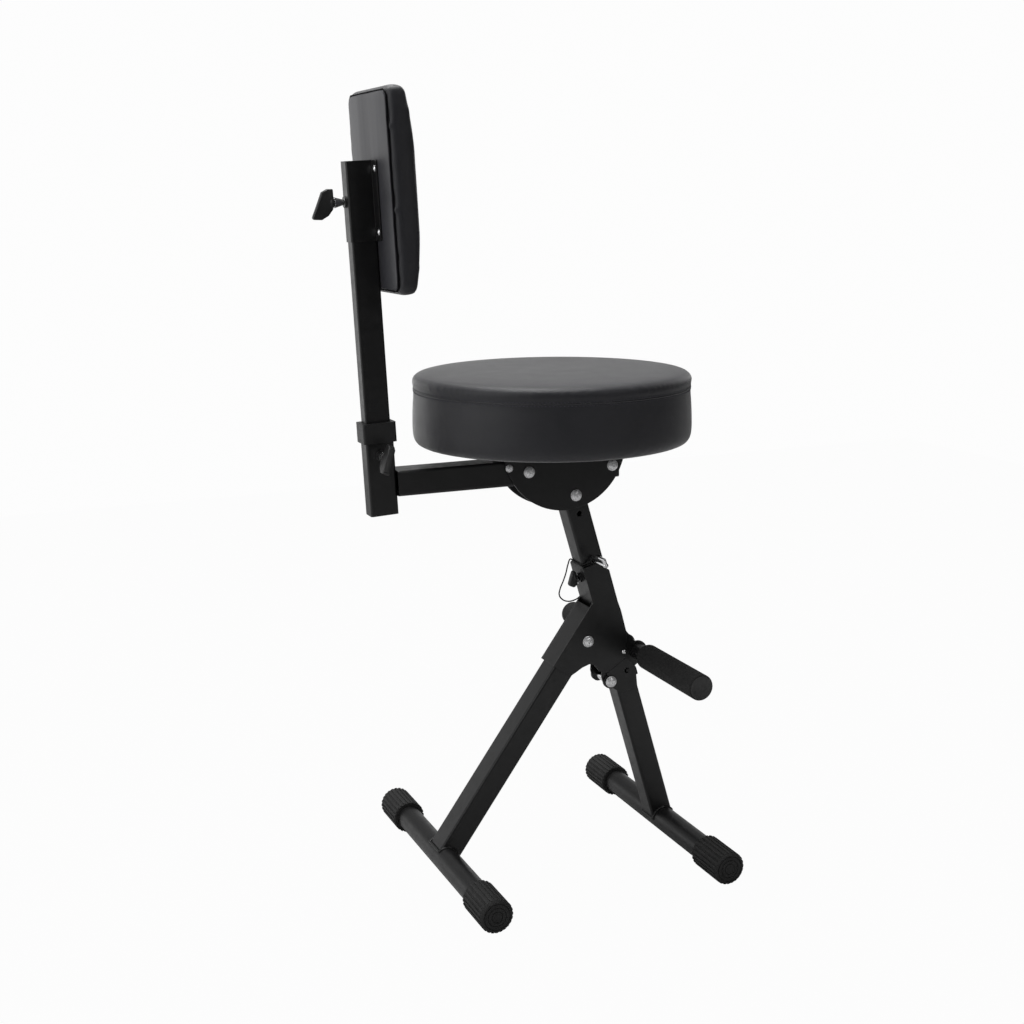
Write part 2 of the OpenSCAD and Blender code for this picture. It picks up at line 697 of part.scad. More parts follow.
// Wing knob, drawn along Z from the face of its boss
module knob_stud(wall, cone_l) {
    inner = boss_h + wall + slide_gap / 2;
    translate([0, 0, -inner]) cylinder(h = inner + pin_gap, d = stud_d);
    translate([0, 0, pin_gap]) cylinder(h = cone_l - pin_gap, r1 = stud_d / 2, r2 = stud_cone_r);
}

module knob_body(reach, span, cone_l) {
    translate([0, 0, cone_l]) cylinder(h = knob_hub_share * reach, r = knob_hub_r);
    slab_y(-knob_t / 2, knob_t / 2)
        polygon([for (share = knob_outline_shares) [share[1] * span, share[0] * reach]]);
}

module column_knob_frame() mast_frame() translate([-sleeve_v / 2 - boss_h, 0, column_knob_s])
    rotate([0, -90, 0]) children();
module post_knob_frame() post_frame() translate([0, -post_sleeve_w / 2 - boss_h, post_knob_h])
    rotate([90, 0, 0]) rotate([0, 0, 90 - post_knob_turn]) children();
module bracket_knob_frame() post_frame()
    translate([-knob_face, 0, bracket_mid]) rotate([0, -90, 0]) children();

module column_knob() color(plastic_black) column_knob_frame()
    knob_body(column_knob_reach, column_knob_span, column_cone_l);
module column_knob_stud() color(chrome) column_knob_frame() knob_stud(sleeve_wall, column_cone_l);
module post_knob() color(plastic_black) post_knob_frame() knob_body(knob_reach, knob_span, stud_cone_l);
module post_knob_stud() color(chrome) post_knob_frame() knob_stud(post_sleeve_wall, stud_cone_l);
module bracket_knob() color(plastic_black) bracket_knob_frame()
    knob_body(knob_reach, knob_span, stud_cone_l);
module bracket_knob_stud() color(chrome) bracket_knob_frame() knob_stud(bracket_wall, stud_cone_l);

// Half-round cheek under the seat, pierced for the bolts
module cheek(side) color(steel_black) on_side(side) difference() {
    stool_frame() difference() {
        slab_y(cheek_in, cheek_out) difference() {
            translate([cheek_x, plate_z]) circle(cheek_r);
            translate([cheek_x - 2 * cheek_r, plate_z]) square(4 * cheek_r);
        }
        for (x = arm_bolt_xs) translate([x, 0, arm_bolt_z]) along_y(0, cheek_out + over, bolt_hole_r);
        translate([tip_bolt_x, 0, tip_bolt_z]) along_y(0, cheek_out + over, tip_bolt_d / 2 + pin_gap);
    }
    mast_frame() translate([0, 0, column_bolt_s]) along_y(0, cheek_out + over, bolt_hole_r);
}

module seat_plate() color(steel_black) stool_frame() difference() {
    translate([cheek_x - plate_l / 2, -plate_w / 2, plate_z]) cube([plate_l, plate_w, plate_t]);
    seat_screw_places() cylinder(h = 2 * plate_t, d = seat_screw_d + 2 * pin_gap, center = true);
}

module seat_screw_places() for (x = [-1, 1], y = [-1, 1])
    translate([cheek_x + x * plate_l * screw_place_share, y * plate_w * screw_place_share,
               plate_z + plate_t / 2]) children();

// Arm tube, its rear end cut to the lean of the post sleeve
module arm() color(steel_black) difference() {
    stool_frame() difference() {
        translate([-post_back, 0, arm_z]) rotate([0, 90, 0])
            tube(arm_h, arm_w, tube_r, arm_wall, arm_front + post_back);
        for (x = arm_bolt_xs) translate([x, 0, arm_bolt_z]) along_y(-arm_w, arm_w, bolt_hole_r);
        translate([tip_bolt_x, 0, tip_bolt_z]) along_y(-arm_w, arm_w, tip_bolt_d / 2 + pin_gap);
    }
    post_frame() translate([post_sleeve_d / 2 - arm_w * 3, -arm_w, -post_sleeve_l])
        cube([arm_w * 3, 2 * arm_w, 2 * post_sleeve_l]);
}

module arm_end_plug() color(plastic_black) stool_frame()
    translate([arm_front, 0, arm_z]) rotate([0, 90, 0]) bar_solid(arm_h, arm_w, tube_r, arm_wall);

module arm_bolts() color(chrome) stool_frame() {
    for (x = arm_bolt_xs) through_bolt(x, arm_bolt_z, cheek_out, bolt_d, head_d, head_h);
    through_bolt(tip_bolt_x, tip_bolt_z, cheek_out, tip_bolt_d, tip_head_d, head_h * tip_head_d / head_d);
}

module column_bolt() color(chrome) mast_frame()
    through_bolt(0, column_bolt_s, cheek_out, bolt_d, head_d, head_h);

module column_spacers() color(steel_black) mast_frame() both_sides()
    translate([0, 0, column_bolt_s]) difference() {
        along_y(col_w / 2, cheek_in, bolt_d + pin_gap);
        along_y(0, cheek_out, bolt_hole_r);
    }

module seat_board() color(felt_grey) stool_frame() difference() {
    translate([seat_x, 0, seat_z]) cylinder(h = board_t, r = seat_r - board_inset, $fn = 96);
    seat_screw_places() cylinder(h = 2 * seat_screw_in, d = seat_screw_d + 2 * pin_gap, center = true);
}

// Round cushion: full at the foot, drawn in at the middle, seamed under a small rim, crowned on top
module seat_cushion() color(vinyl) stool_frame() translate([seat_x, 0, seat_z]) rotate_extrude($fn = 96)
    polygon(concat(
        [[0, board_t + seat_gap], [seat_r - board_inset + seat_gap, board_t + seat_gap],
         [seat_r - board_inset + seat_gap, 0]],
        [for (share = seat_side_shares) [seat_r - share[0] * board_inset, share[1] * (seat_t - rim_r)]],
        [for (a = [0 : 15 : 90]) [rim_core_r + rim_r * cos(a), seat_t - rim_r + rim_r * sin(a)]],
        [for (u = concat(crown_ring_shares, [0])) [u * rim_core_r, seat_t + seat_crown * (1 - u * u)]]));

module seat_screws() color(chrome) stool_frame() seat_screw_places() {
    translate([0, 0, -plate_t / 2]) cylinder(h = seat_screw_in, d = seat_screw_d);
    translate([0, 0, -plate_t / 2]) rotate([180, 0, 0]) dome(seat_screw_head, small_head_h);
}

module post_sleeve() color(steel_black) post_frame() difference() {
    union() {
        translate([0, 0, -post_sleeve_l / 2])
            tube(post_sleeve_d, post_sleeve_w, tube_r, post_sleeve_wall, post_sleeve_l);
        translate([0, -post_sleeve_w / 2, post_knob_h]) rotate([90, 0, 0]) cylinder(h = boss_h, r = boss_r);
    }
    translate([0, 0, post_knob_h]) along_y(-post_sleeve_w, 0, stud_d / 2 + pin_gap);
}

// Plastic collar capping the post sleeve
module post_collar() color(plastic_black) post_frame() translate([0, 0, post_sleeve_l / 2]) difference() {
    translate([0, 0, collar_lip - collar_h])
        bar_solid(post_sleeve_d + 2 * collar_wall, post_sleeve_w + 2 * collar_wall, tube_r, collar_h);
    translate([0, 0, -collar_h]) bar_solid(post_sleeve_d, post_sleeve_w, tube_r, collar_h);
    translate([0, 0, -collar_h]) linear_extrude(2 * collar_h) square([post_in_d, post_in_w], center = true);
}

module post() color(steel_black) post_frame() translate([0, 0, post_low])
    tube(post_d, post_w, tube_r - slide_gap, post_wall, post_l);

module post_end_plug() color(plastic_black) post_frame() translate([0, 0, post_low + post_l])
    bar_solid(post_d, post_w, tube_r - slide_gap, post_wall);

// Back bracket: bent channel round the post, with a screw flange each side of the post's front
module back_bracket() color(steel_black) post_frame() translate([0, 0, bracket_mid]) difference() {
    union() {
        translate([0, 0, -bracket_l / 2])
            bar_solid(post_in_d + 2 * bracket_wall, post_in_w + 2 * bracket_wall, bend_r, bracket_l);
        translate([post_in_d / 2 - flange_t, 0, 0]) rotate([90, 0, 90])
            bar_solid(bracket_w, bracket_l, bend_r, flange_t);
        translate([-post_in_d / 2 - bracket_wall, 0, 0]) rotate([0, -90, 0]) cylinder(h = boss_h, r = boss_r);
    }
    translate([0, 0, -bracket_l]) bar_solid(post_in_d, post_in_w, tube_r, 2 * bracket_l);
    translate([post_in_d / 2, -bracket_w, -bracket_l]) cube([post_in_d, 2 * bracket_w, 2 * bracket_l]);
    translate([-post_in_d, 0, 0]) rotate([0, 90, 0]) cylinder(h = post_in_d, r = stud_d / 2 + pin_gap);
    back_screw_places() rotate([0, 90, 0])
        cylinder(h = 2 * (flange_t + over), d = back_screw_d + 2 * pin_gap, center = true);
}

module back_screw_places() for (y = [-1, 1], z = [-1, 1])
    translate([post_in_d / 2 - flange_t, y * back_screw_y, z * back_screw_h]) children();

module back_screws() color(chrome) post_frame() translate([0, 0, bracket_mid]) back_screw_places() {
    rotate([0, 90, 0]) cylinder(h = flange_t + back_screw_in, d = back_screw_d);
    rotate([0, -90, 0]) dome(back_screw_head, small_head_h);
}

module back_board() color(felt_grey) post_frame() difference() {
    translate([board_x, 0, back_rise]) rotate([90, 0, 90])
        bar_solid(back_w - 2 * back_wrap, back_h - 2 * back_wrap, back_r - back_wrap, back_board_t);
    translate([0, 0, bracket_mid]) back_screw_places() rotate([0, 90, 0])
        cylinder(h = 2 * (flange_t + back_screw_in), d = back_screw_d + 2 * pin_gap, center = true);
}

// Outline of the backrest, inset from its full size, with points along its edges and corners
function back_edge_pt(k, inset) =
    let (quarter = floor(k / back_steps), j = k % back_steps, half = back_steps / 2,
         sy = quarter == 0 || quarter == 3 ? 1 : -1, sz = quarter < 2 ? 1 : -1,
         r = back_r - inset, w = back_w / 2 - inset, h = back_h / 2 - inset,
         turned = quarter % 2 == 0 ? j : back_steps - 1 - j,
         a = 90 * min(max(turned - half / 2, 0), half - 1) / (half - 1),
         low = max(half / 2 - turned, 0) / (half / 2), high = max(turned - half * 1.5 + 1, 0) / (half / 2))
    [sy * ((w - r + r * cos(a)) * (1 - high * edge_share)),
     sz * ((h - r + r * sin(a)) * (1 - low * edge_share))];

function edge_fall(span, whole) = 1 - pow(2 * min(abs(span), whole / 2) / whole, crown_power);
function pad_rise(p) = pad_crown * edge_fall(p[0], back_w) * edge_fall(p[1], back_h);
function pad_swell_at(p) = pad_swell * edge_fall(p[1], back_h);

// Crowned back pad: rings round its side, then shrinking rings up to the crown
module back_pad_skin() {
    n = 4 * back_steps;
    depth = back_board_t + pad_edge_t;
    sides = [for (share = back_side_shares) [share[0], share[1] * pad_round, 1]];
    rim_inset = back_side_shares[len(back_side_shares) - 1][1] * pad_round;
    crowns = [for (u = crown_ring_shares) [1, rim_inset, u]];
    rings = concat(sides, crowns);
    points = concat([[0, 0, 0]],
        [for (ring = rings, k = [0 : n - 1])
            let (p = ring[2] * back_edge_pt(k, ring[1]), rise = ring[2] < 1 ? pad_rise(p) : 0)
            [ring[0] * (depth + pad_swell_at(p)) + rise, p[0], p[1]]],
        [[depth + pad_swell + pad_crown, 0, 0]]);
    top = len(points) - 1;
    last = top - n;
    faces = concat(
        [for (k = [0 : n - 1]) [0, 1 + k, 1 + (k + 1) % n]],
        [for (i = [0 : len(rings) - 2], k = [0 : n - 1])
            let (a = 1 + i * n + k, b = 1 + i * n + (k + 1) % n) each [[a, a + n, b], [b, a + n, b + n]]],
        [for (k = [0 : n - 1]) [last + k, top, last + (k + 1) % n]]);
    polyhedron(points, faces);
}

module back_pad() color(vinyl) post_frame() translate([board_x, 0, back_rise]) difference() {
    back_pad_skin();
    translate([-over, 0, 0]) rotate([90, 0, 90])
        bar_solid(back_w - 2 * back_wrap + 2 * seat_gap, back_h - 2 * back_wrap + 2 * seat_gap,
                  back_r - back_wrap + seat_gap, back_board_t + seat_gap + over);
}

rear_foot_tube();
rear_cap(-1);  // rear_cap_right
rear_cap(1);  // rear_cap_left
front_foot_tube();
front_cap(-1);  // front_cap_right
front_cap(1);  // front_cap_left
rear_leg();
column_sleeve();
hub_plate(-1);  // hub_plate_right
hub_plate(1);  // hub_plate_left
hub_strap();
hub_bolt();
pivot_bolt();
pivot_spacer();
pivot_washers();
front_leg();
fold_bracket();
footrest_bar();
footrest_grip(-1);  // footrest_grip_right
footrest_grip(1);  // footrest_grip_left
footrest_screws();
column();
column_end_plug();
sleeve_liner();
lock_pin();
lock_pin_ball();
lanyard_eye();
lanyard();
lanyard_screw();
column_knob();
column_knob_stud();
cheek(-1);  // cheek_right
cheek(1);  // cheek_left
seat_plate();
arm();
arm_end_plug();
arm_bolts();
column_bolt();
column_spacers();
post_sleeve();
post_collar();
post_knob();
post_knob_stud();
seat_board();
seat_cushion();
seat_screws();
post();
post_end_plug();
back_bracket();
bracket_knob();
bracket_knob_stud();
back_screws();
back_board();
back_pad();
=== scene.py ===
"""Folding guitar stool: finishes, padded pieces, trims and studio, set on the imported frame.

Lengths are in metres, in the frame's own axes: X the way the player faces, Y to the player's left,
Z up, floor at Z = 0. Every piece's place comes from the frame's boxes and joints."""

import json
import math
from contextlib import contextmanager

import bpy
from mathutils import Matrix, Vector


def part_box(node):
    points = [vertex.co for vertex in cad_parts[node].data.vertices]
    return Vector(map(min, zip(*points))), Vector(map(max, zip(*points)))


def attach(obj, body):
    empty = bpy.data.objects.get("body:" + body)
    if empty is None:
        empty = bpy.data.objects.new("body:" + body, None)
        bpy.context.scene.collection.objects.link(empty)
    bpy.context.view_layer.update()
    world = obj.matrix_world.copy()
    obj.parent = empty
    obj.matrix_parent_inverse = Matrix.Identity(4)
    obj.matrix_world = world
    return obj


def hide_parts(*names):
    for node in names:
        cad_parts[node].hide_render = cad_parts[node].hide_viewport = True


bl_info = {
    "name": "Folding Guitar Stool",
    "version": (1, 0, 0),
    "blender": (4, 5, 0),
    "location": "View3D > Sidebar > Stool",
    "description": "Dresses the frame of a folding guitar stool with finishes and padded pieces",
    "category": "Object",
}

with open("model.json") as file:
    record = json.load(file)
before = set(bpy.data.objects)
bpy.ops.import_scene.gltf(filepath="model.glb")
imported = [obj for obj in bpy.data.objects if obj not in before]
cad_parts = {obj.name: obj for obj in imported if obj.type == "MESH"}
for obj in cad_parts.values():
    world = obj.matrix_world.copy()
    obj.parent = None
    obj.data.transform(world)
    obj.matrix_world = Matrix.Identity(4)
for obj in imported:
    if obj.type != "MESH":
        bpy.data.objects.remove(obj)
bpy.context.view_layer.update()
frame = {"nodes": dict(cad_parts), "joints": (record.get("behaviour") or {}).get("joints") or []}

# Directions of the stool
LEFT = Vector((0, 1, 0))
UP = Vector((0, 0, 1))
JOINTS = {joint["name"]: joint for joint in frame["joints"]}
MAST_UP = Vector(JOINTS["seat_height"]["axis"])
MAST_FRONT = LEFT.cross(MAST_UP)
POST_UP = Vector(JOINTS["back_height"]["axis"])
POST_FRONT = LEFT.cross(POST_UP)
REAR_LEAN = math.radians(35.9)
REAR_LEG_UP = Vector((math.sin(REAR_LEAN), 0, math.cos(REAR_LEAN)))

# Points closer than this are one
SAME_POINT = 1e-6

# Padded covers: width of a mesh cell, frames of the filling simulation, and a taut cloth
PAD_CELL = 0.004
FILL_FRAMES = 20
COVER_CLOTH = {
    "quality": 5, "tension_stiffness": 15, "compression_stiffness": 15, "shear_stiffness": 5,
    "bending_stiffness": 1.5, "vertex_group_mass": "held", "use_pressure": True,
}


def middle(node):
    low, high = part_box(node)
    return (low + high) / 2


def size(node):
    low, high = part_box(node)
    return high - low


# Shared helpers for modelling with Blender's own tools


def deselect():
    if bpy.context.object and bpy.context.object.mode != "OBJECT":
        bpy.ops.object.mode_set(mode="OBJECT")
    bpy.ops.object.select_all(action="DESELECT")


def activate(piece):
    deselect()
    piece.select_set(True)
    bpy.context.view_layer.objects.active = piece


def named(name):
    """Names the piece that was just added."""
    piece = bpy.context.object
    piece.name = name
    piece.data.name = name
    return piece


def place(piece, matrix):
    """Puts the piece's mesh where matrix says, and leaves its object at the origin."""
    activate(piece)
    piece.matrix_world = matrix
    bpy.ops.object.transform_apply(location=True, rotation=True, scale=True)
    return piece


def frame_matrix(origin, x_axis, z_axis):
    """A turned frame: its Z along z_axis, its X along x_axis."""
    z = z_axis.normalized()
    x = (x_axis - x_axis.dot(z) * z).normalized()
    y = z.cross(x)
    turned = Matrix((x, y, z)).transposed().to_4x4()
    return Matrix.Translation(origin) @ turned


def modify(piece, kind, **settings):
    """Adds one modifier and applies it."""
    activate(piece)
    modifier = piece.modifiers.new(kind.title(), kind)
    for key, value in settings.items():
        setattr(modifier, key, value)
    bpy.ops.object.modifier_apply(modifier=modifier.name)
    return piece


def smooth(piece, degrees):
    activate(piece)
    bpy.ops.object.shade_smooth_by_angle(angle=math.radians(degrees))
    return piece


@contextmanager
def editing(piece):
    """Edit mode with all of the piece selected."""
    activate(piece)
    bpy.ops.object.mode_set(mode="EDIT")
    bpy.ops.mesh.select_all(action="SELECT")
    yield
    bpy.ops.object.mode_set(mode="OBJECT")


def face_outwards(piece):
    with editing(piece):
        bpy.ops.mesh.remove_doubles(threshold=SAME_POINT)
        bpy.ops.mesh.normals_make_consistent(inside=False)
    return piece


def join(pieces, name):
    """Joins like pieces into one."""
    deselect()
    for piece in pieces:
        piece.select_set(True)
    bpy.context.view_layer.objects.active = pieces[0]
    if len(pieces) > 1:
        bpy.ops.object.join()
    return named(name)


def lathe(name, profile, sides=48):
    """Turned piece about Z: a ring for each (radius, height), closed at both ends."""
    deselect()
    radius, height = profile[0]
    bpy.ops.mesh.primitive_circle_add(
        vertices=sides, radius=radius, fill_type="NGON", location=(0, 0, height)
    )
    piece = named(name)
    bpy.ops.object.transform_apply(location=True, rotation=False, scale=False)
    with editing(piece):
        for next_radius, next_height in profile[1:]:
            bpy.ops.mesh.extrude_region_move(
                TRANSFORM_OT_translate={"value": (0, 0, next_height - height)}
            )
            scale = next_radius / radius
            bpy.ops.transform.resize(value=(scale, scale, 1), center_override=(0, 0, next_height))
            radius, height = next_radius, next_height
    return face_outwards(piece)


def extruded(name, outline, thickness):
    """Flat piece: an outline in X and Z, thickness along Y about the middle."""
    deselect()
    bpy.ops.mesh.primitive_circle_add(vertices=len(outline), radius=1, fill_type="NGON")
    piece = named(name)
    for vertex, (x, z) in zip(piece.data.vertices, outline):
        vertex.co = (x, -thickness / 2, z)
    with editing(piece):
        bpy.ops.mesh.extrude_region_move(TRANSFORM_OT_translate={"value": (0, thickness, 0)})
    return face_outwards(piece)


def rounded(piece, width, segments, degrees):
    """Rounds the piece's edges."""
    return modify(
        piece, "BEVEL", width=width, segments=segments, limit_method="ANGLE",
        angle_limit=math.radians(degrees),
    )


def rod(name, points, radius, sides=8, cyclic=False):
    """A round bar along points, as a mesh."""
    deselect()
    bpy.ops.curve.primitive_nurbs_path_add()
    curve = bpy.context.object
    curve.data.splines.clear()
    spline = curve.data.splines.new("NURBS")
    spline.points.add(len(points) - 1)
    for point, place_at in zip(spline.points, points):
        point.co = (*place_at, 1)
    spline.use_endpoint_u = not cyclic
    spline.use_cyclic_u = cyclic
    spline.order_u = 4 if len(points) > 3 else 2
    spline.resolution_u = 6
    curve.data.bevel_depth = radius
    curve.data.bevel_resolution = max(1, sides // 4 - 1)
    curve.data.use_fill_caps = True
    curve.location = (0, 0, 0)
    activate(curve)
    bpy.ops.object.convert(target="MESH")
    return named(name)


def span(node, axis):
    """Nearest and farthest reach of a node along an axis."""
    reach = [vertex.co.dot(axis) for vertex in frame["nodes"][node].data.vertices]
    return min(reach), max(reach)


def hull_of(node, name):
    """The closed outer form of a padded node, without the pocket for its board."""
    mesh = frame["nodes"][node].data.copy()
    piece = bpy.data.objects.new(name, mesh)
    mesh.name = name
    bpy.context.collection.objects.link(piece)
    with editing(piece):
        bpy.ops.mesh.remove_doubles(threshold=SAME_POINT)
        bpy.ops.mesh.convex_hull()
    return face_outwards(piece)


def around(piece, count):
    """Repeats the piece around the Z axis."""
    deselect()
    bpy.ops.object.empty_add(rotation=(0, 0, 2 * math.pi / count))
    turn = bpy.context.object
    modify(
        piece, "ARRAY", count=count, use_relative_offset=False, use_object_offset=True,
        offset_object=turn,
    )
    bpy.data.objects.remove(turn)
    return piece


def swell(piece, cap, pressure, held):
    """Fills a pad by cloth simulation; held says how firmly each point stays, from 0 to 1."""
    group = piece.vertex_groups.new(name="held")
    start = [vertex.co.copy() for vertex in piece.data.vertices]
    for vertex in piece.data.vertices:
        group.add([vertex.index], held(vertex.co), "REPLACE")
    activate(piece)
    cloth = piece.modifiers.new("Cloth", "CLOTH")
    cloth.point_cache.frame_start = 1
    cloth.point_cache.frame_end = FILL_FRAMES
    for key, value in COVER_CLOTH.items():
        setattr(cloth.settings, key, value)
    cloth.settings.uniform_pressure_force = pressure
    cloth.settings.effector_weights.gravity = 0
    for count in range(1, FILL_FRAMES + 1):
        bpy.context.scene.frame_set(count)
    bpy.ops.object.modifier_apply(modifier="Cloth")
    bpy.context.scene.frame_set(1)
    for vertex, before in zip(piece.data.vertices, start):
        move = vertex.co - before
        if move.length > cap:
            vertex.co = before + move * (cap / move.length)
    piece.vertex_groups.clear()
    return piece


def finish(piece, body, material, degrees=None):
    """Smooths and paints a piece and says what it moves with."""
    if degrees:
        smooth(piece, degrees)
    paint(piece, bpy.data.materials[material])
    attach(piece, body)
    return piece


def ease(value, low, high):
    """Smooth step from 0 at low to 1 at high."""
    share = min(1.0, max(0.0, (value - low) / (high - low)))
    return share * share * (3 - 2 * share)


def hump(value, centre, width):
    return math.exp(-(((value - centre) / width) ** 2))


# Materials


def shade(colour, factor):
    return tuple(min(1.0, channel * factor) for channel in colour[:3])


class Nodes:
    """Adds and links the nodes of one tree."""

    def __init__(self, tree):
        self.tree = tree
        self.coords = self.add("ShaderNodeTexCoord")

    def add(self, kind, inputs=None, **settings):
        """A node with its settings, and its inputs as values or links."""
        made = self.tree.nodes.new(kind)
        for key, value in settings.items():
            setattr(made, key, value)
        for key, value in (inputs or {}).items():
            if isinstance(value, bpy.types.NodeSocket):
                self.link(value, made.inputs[key])
            else:
                made.inputs[key].default_value = value
        return made

    def link(self, source, target):
        self.tree.links.new(source, target)

    def spread(self, value, low, high, from_low=0.3, from_high=0.7, kind="LINEAR"):
        """Value stretched to the range low to high."""
        inputs = {
            "Value": value, "From Min": from_low, "From Max": from_high, "To Min": low,
            "To Max": high,
        }
        return self.add("ShaderNodeMapRange", inputs, interpolation_type=kind).outputs["Result"]

    def mix(self, first, second, operation="ADD"):
        inputs = {0: first, 1: second}
        return self.add("ShaderNodeMath", inputs, operation=operation).outputs["Value"]


class Shades(Nodes):
    """Builds one node material step by step."""

    def __init__(self, name):
        self.material = bpy.data.materials.new(name)
        self.material.use_nodes = True
        super().__init__(self.material.node_tree)
        self.shader = self.tree.nodes["Principled BSDF"]

    def set(self, **values):
        for key, value in values.items():
            self.shader.inputs[key.replace("_", " ")].default_value = value

    def texture(self, kind, stretch, inputs, **settings):
        mapping = self.add("ShaderNodeMapping", {
            "Scale": stretch, "Vector": self.coords.outputs["Object"],
        })
        return self.add(kind, {"Vector": mapping.outputs["Vector"], **inputs}, **settings)

    def noise(self, scale, detail=3.0, roughness=0.55, stretch=(1, 1, 1)):
        inputs = {"Scale": scale, "Detail": detail, "Roughness": roughness}
        return self.texture("ShaderNodeTexNoise", stretch, inputs).outputs["Fac"]

    def cells(self, scale, feature="F1", stretch=(1, 1, 1)):
        inputs = {"Scale": scale}
        made = self.texture("ShaderNodeTexVoronoi", stretch, inputs, feature=feature)
        return made.outputs["Distance"]

    def colour(self, value, base, low, high):
        """Base colour times a factor that runs from low to high with value."""
        ramp = self.add("ShaderNodeValToRGB", {"Fac": value})
        for element, position, factor in zip(ramp.color_ramp.elements, (0.3, 0.7), (low, high)):
            element.position = position
            element.color = (*shade(base, factor), 1)
        self.link(ramp.outputs["Color"], self.shader.inputs["Base Color"])

    def roughness(self, value, low, high):
        self.link(self.spread(value, low, high), self.shader.inputs["Roughness"])

    def bump(self, height, distance, strength, edge=0.0):
        """Relief of the surface; edge rounds the sharp edges of plain metal."""
        inputs = {"Distance": distance, "Strength": strength, "Height": height}
        if edge:
            bevel = self.add("ShaderNodeBevel", {"Radius": edge}, samples=6)
            inputs["Normal"] = bevel.outputs["Normal"]
        bump = self.add("ShaderNodeBump", inputs)
        self.link(bump.outputs["Normal"], self.shader.inputs["Normal"])


def powder_coat(look):
    """Black powder coat: a fine orange-peel skin with faint cloudiness."""
    made = Shades("black_powder_coat")
    rough = look.steel_roughness
    made.colour(made.noise(28, detail=4), look.steel, 0.85, 1.2)
    made.roughness(made.noise(90, detail=5), rough - 0.05, rough + 0.07)
    peel = made.mix(made.noise(1400, detail=2), made.noise(420, detail=2))
    made.bump(peel, 0.00012, 0.35, edge=0.0012)
    made.set(Specular_IOR_Level=0.45)
    return made.material


def chrome_plate(look):
    """Bright chrome with soft hairline wear."""
    made = Shades("bright_chrome")
    made.set(Metallic=1.0)
    made.colour(made.noise(120), look.chrome, 0.9, 1.0)
    made.roughness(made.noise(260, detail=6), 0.07, 0.2)
    made.bump(made.noise(2600, detail=2, stretch=(1, 0.15, 1)), 0.00003, 0.3, edge=0.0003)
    return made.material


def zinc_plate(look):
    """Zinc of the bolt heads: rougher than chrome, with tumbled wear; its near-white colour on a
    mostly unmetallic surface is a painted reflection of the bright lamps.
    """
    made = Shades("zinc_painted_reflection")
    # Painted reflection: low metallic and a near-white colour stand for the lamps' glare on the
    # heads
    made.set(Metallic=0.35)
    made.colour(made.noise(300, detail=5), look.chrome, 1.0, 1.15)
    made.roughness(made.noise(500, detail=4), 0.2, 0.34)
    made.bump(made.noise(1800, detail=3), 0.00004, 0.3)
    return made.material


def moulded_rubber(look):
    """Rubber of the end caps: matt, with a fine spark-eroded grain and a dusty bloom."""
    made = Shades("cap_rubber")
    made.colour(made.noise(40, detail=5), look.rubber, 0.8, 1.45)
    made.roughness(made.noise(200), 0.62, 0.8)
    made.bump(made.mix(made.noise(2200), made.noise(500)), 0.0002, 0.5, edge=0.0005)
    return made.material


def end_skin(look):
    """End ring of a foam grip, painted paler than its side: painted light on the grip's end."""
    made = Shades("end_skin")
    # Painted light: a lighter copy of the grip's rubber
    made.colour(made.noise(160, detail=4), look.rubber, 2.2, 3.2)
    made.roughness(made.noise(300), 0.55, 0.7)
    made.bump(made.mix(made.noise(1800), made.noise(600)), 0.0002, 0.5)
    return made.material


def foam_rubber(look):
    """Foam of the footrest grips: closed cells and a dull skin."""
    made = Shades("grip_foam")
    cells = made.cells(1500)
    made.colour(cells, look.rubber, 0.6, 1.2)
    made.roughness(made.noise(300), 0.82, 0.95)
    made.bump(made.mix(cells, made.noise(700)), 0.0004, 0.6, edge=0.0012)
    return made.material


def satin_plastic(look):
    """Moulded plastic of plugs, collar and knobs."""
    made = Shades("satin_plastic")
    made.colour(made.noise(60), look.plastic, 0.85, 1.2)
    made.roughness(made.noise(300, detail=4), 0.38, 0.5)
    made.bump(made.noise(1900, detail=2), 0.0001, 0.35, edge=0.0005)
    return made.material


def grained_vinyl(look):
    """Vinyl cover: shallow leather grain, soft sheen and slow colour drift."""
    made = Shades("grained_vinyl")
    rough = look.vinyl_roughness
    valleys = made.spread(made.cells(950, feature="DISTANCE_TO_EDGE"), 0.0, 1.0, 0.0, 0.18)
    pores = made.mix(made.noise(3200, detail=2), 0.25, "MULTIPLY")
    made.colour(made.noise(14, detail=4, roughness=0.6), look.vinyl, 0.88, 1.15)
    made.roughness(made.noise(45, detail=5), rough - 0.05, rough + 0.06)
    made.bump(made.mix(valleys, pores), 0.00016, 0.4)
    made.set(Sheen_Weight=0.5, Sheen_Roughness=0.4)
    return made.material


def pulled_vinyl(look):
    """The same vinyl pulled taut over the back board: smoother, with faint upright pull lines; its
    colour is the vinyl's own, lifted as painted grazing reflection.
    """
    made = Shades("panel_vinyl")
    rough = look.vinyl_roughness
    pulls = made.noise(22, detail=3, stretch=(1, 1, 0.06))
    # Painted reflection: the panel's colour is a lighter copy of the vinyl
    made.colour(made.noise(16, detail=4), look.vinyl, 1.1, 1.6)
    made.roughness(pulls, rough - 0.12, rough + 0.04)
    grain = made.mix(made.noise(1700, detail=3), 0.15, "MULTIPLY")
    made.bump(made.mix(pulls, grain), 0.0009, 0.35)
    made.set(Sheen_Weight=0.1, Sheen_Roughness=0.5)
    return made.material


def backing_cloth(look):
    """Non-woven cloth over the boards: pressed fibres in a fine grid of dimples."""
    made = Shades("backing_cloth")
    made.colour(made.noise(260, detail=5), look.backing, 0.8, 1.25)
    made.roughness(made.noise(400), 0.55, 0.75)
    fibres = made.noise(1500, detail=4, stretch=(1, 1, 0.3))
    made.bump(made.mix(made.cells(620, feature="SMOOTH_F1"), fibres), 0.0002, 0.5)
    return made.material


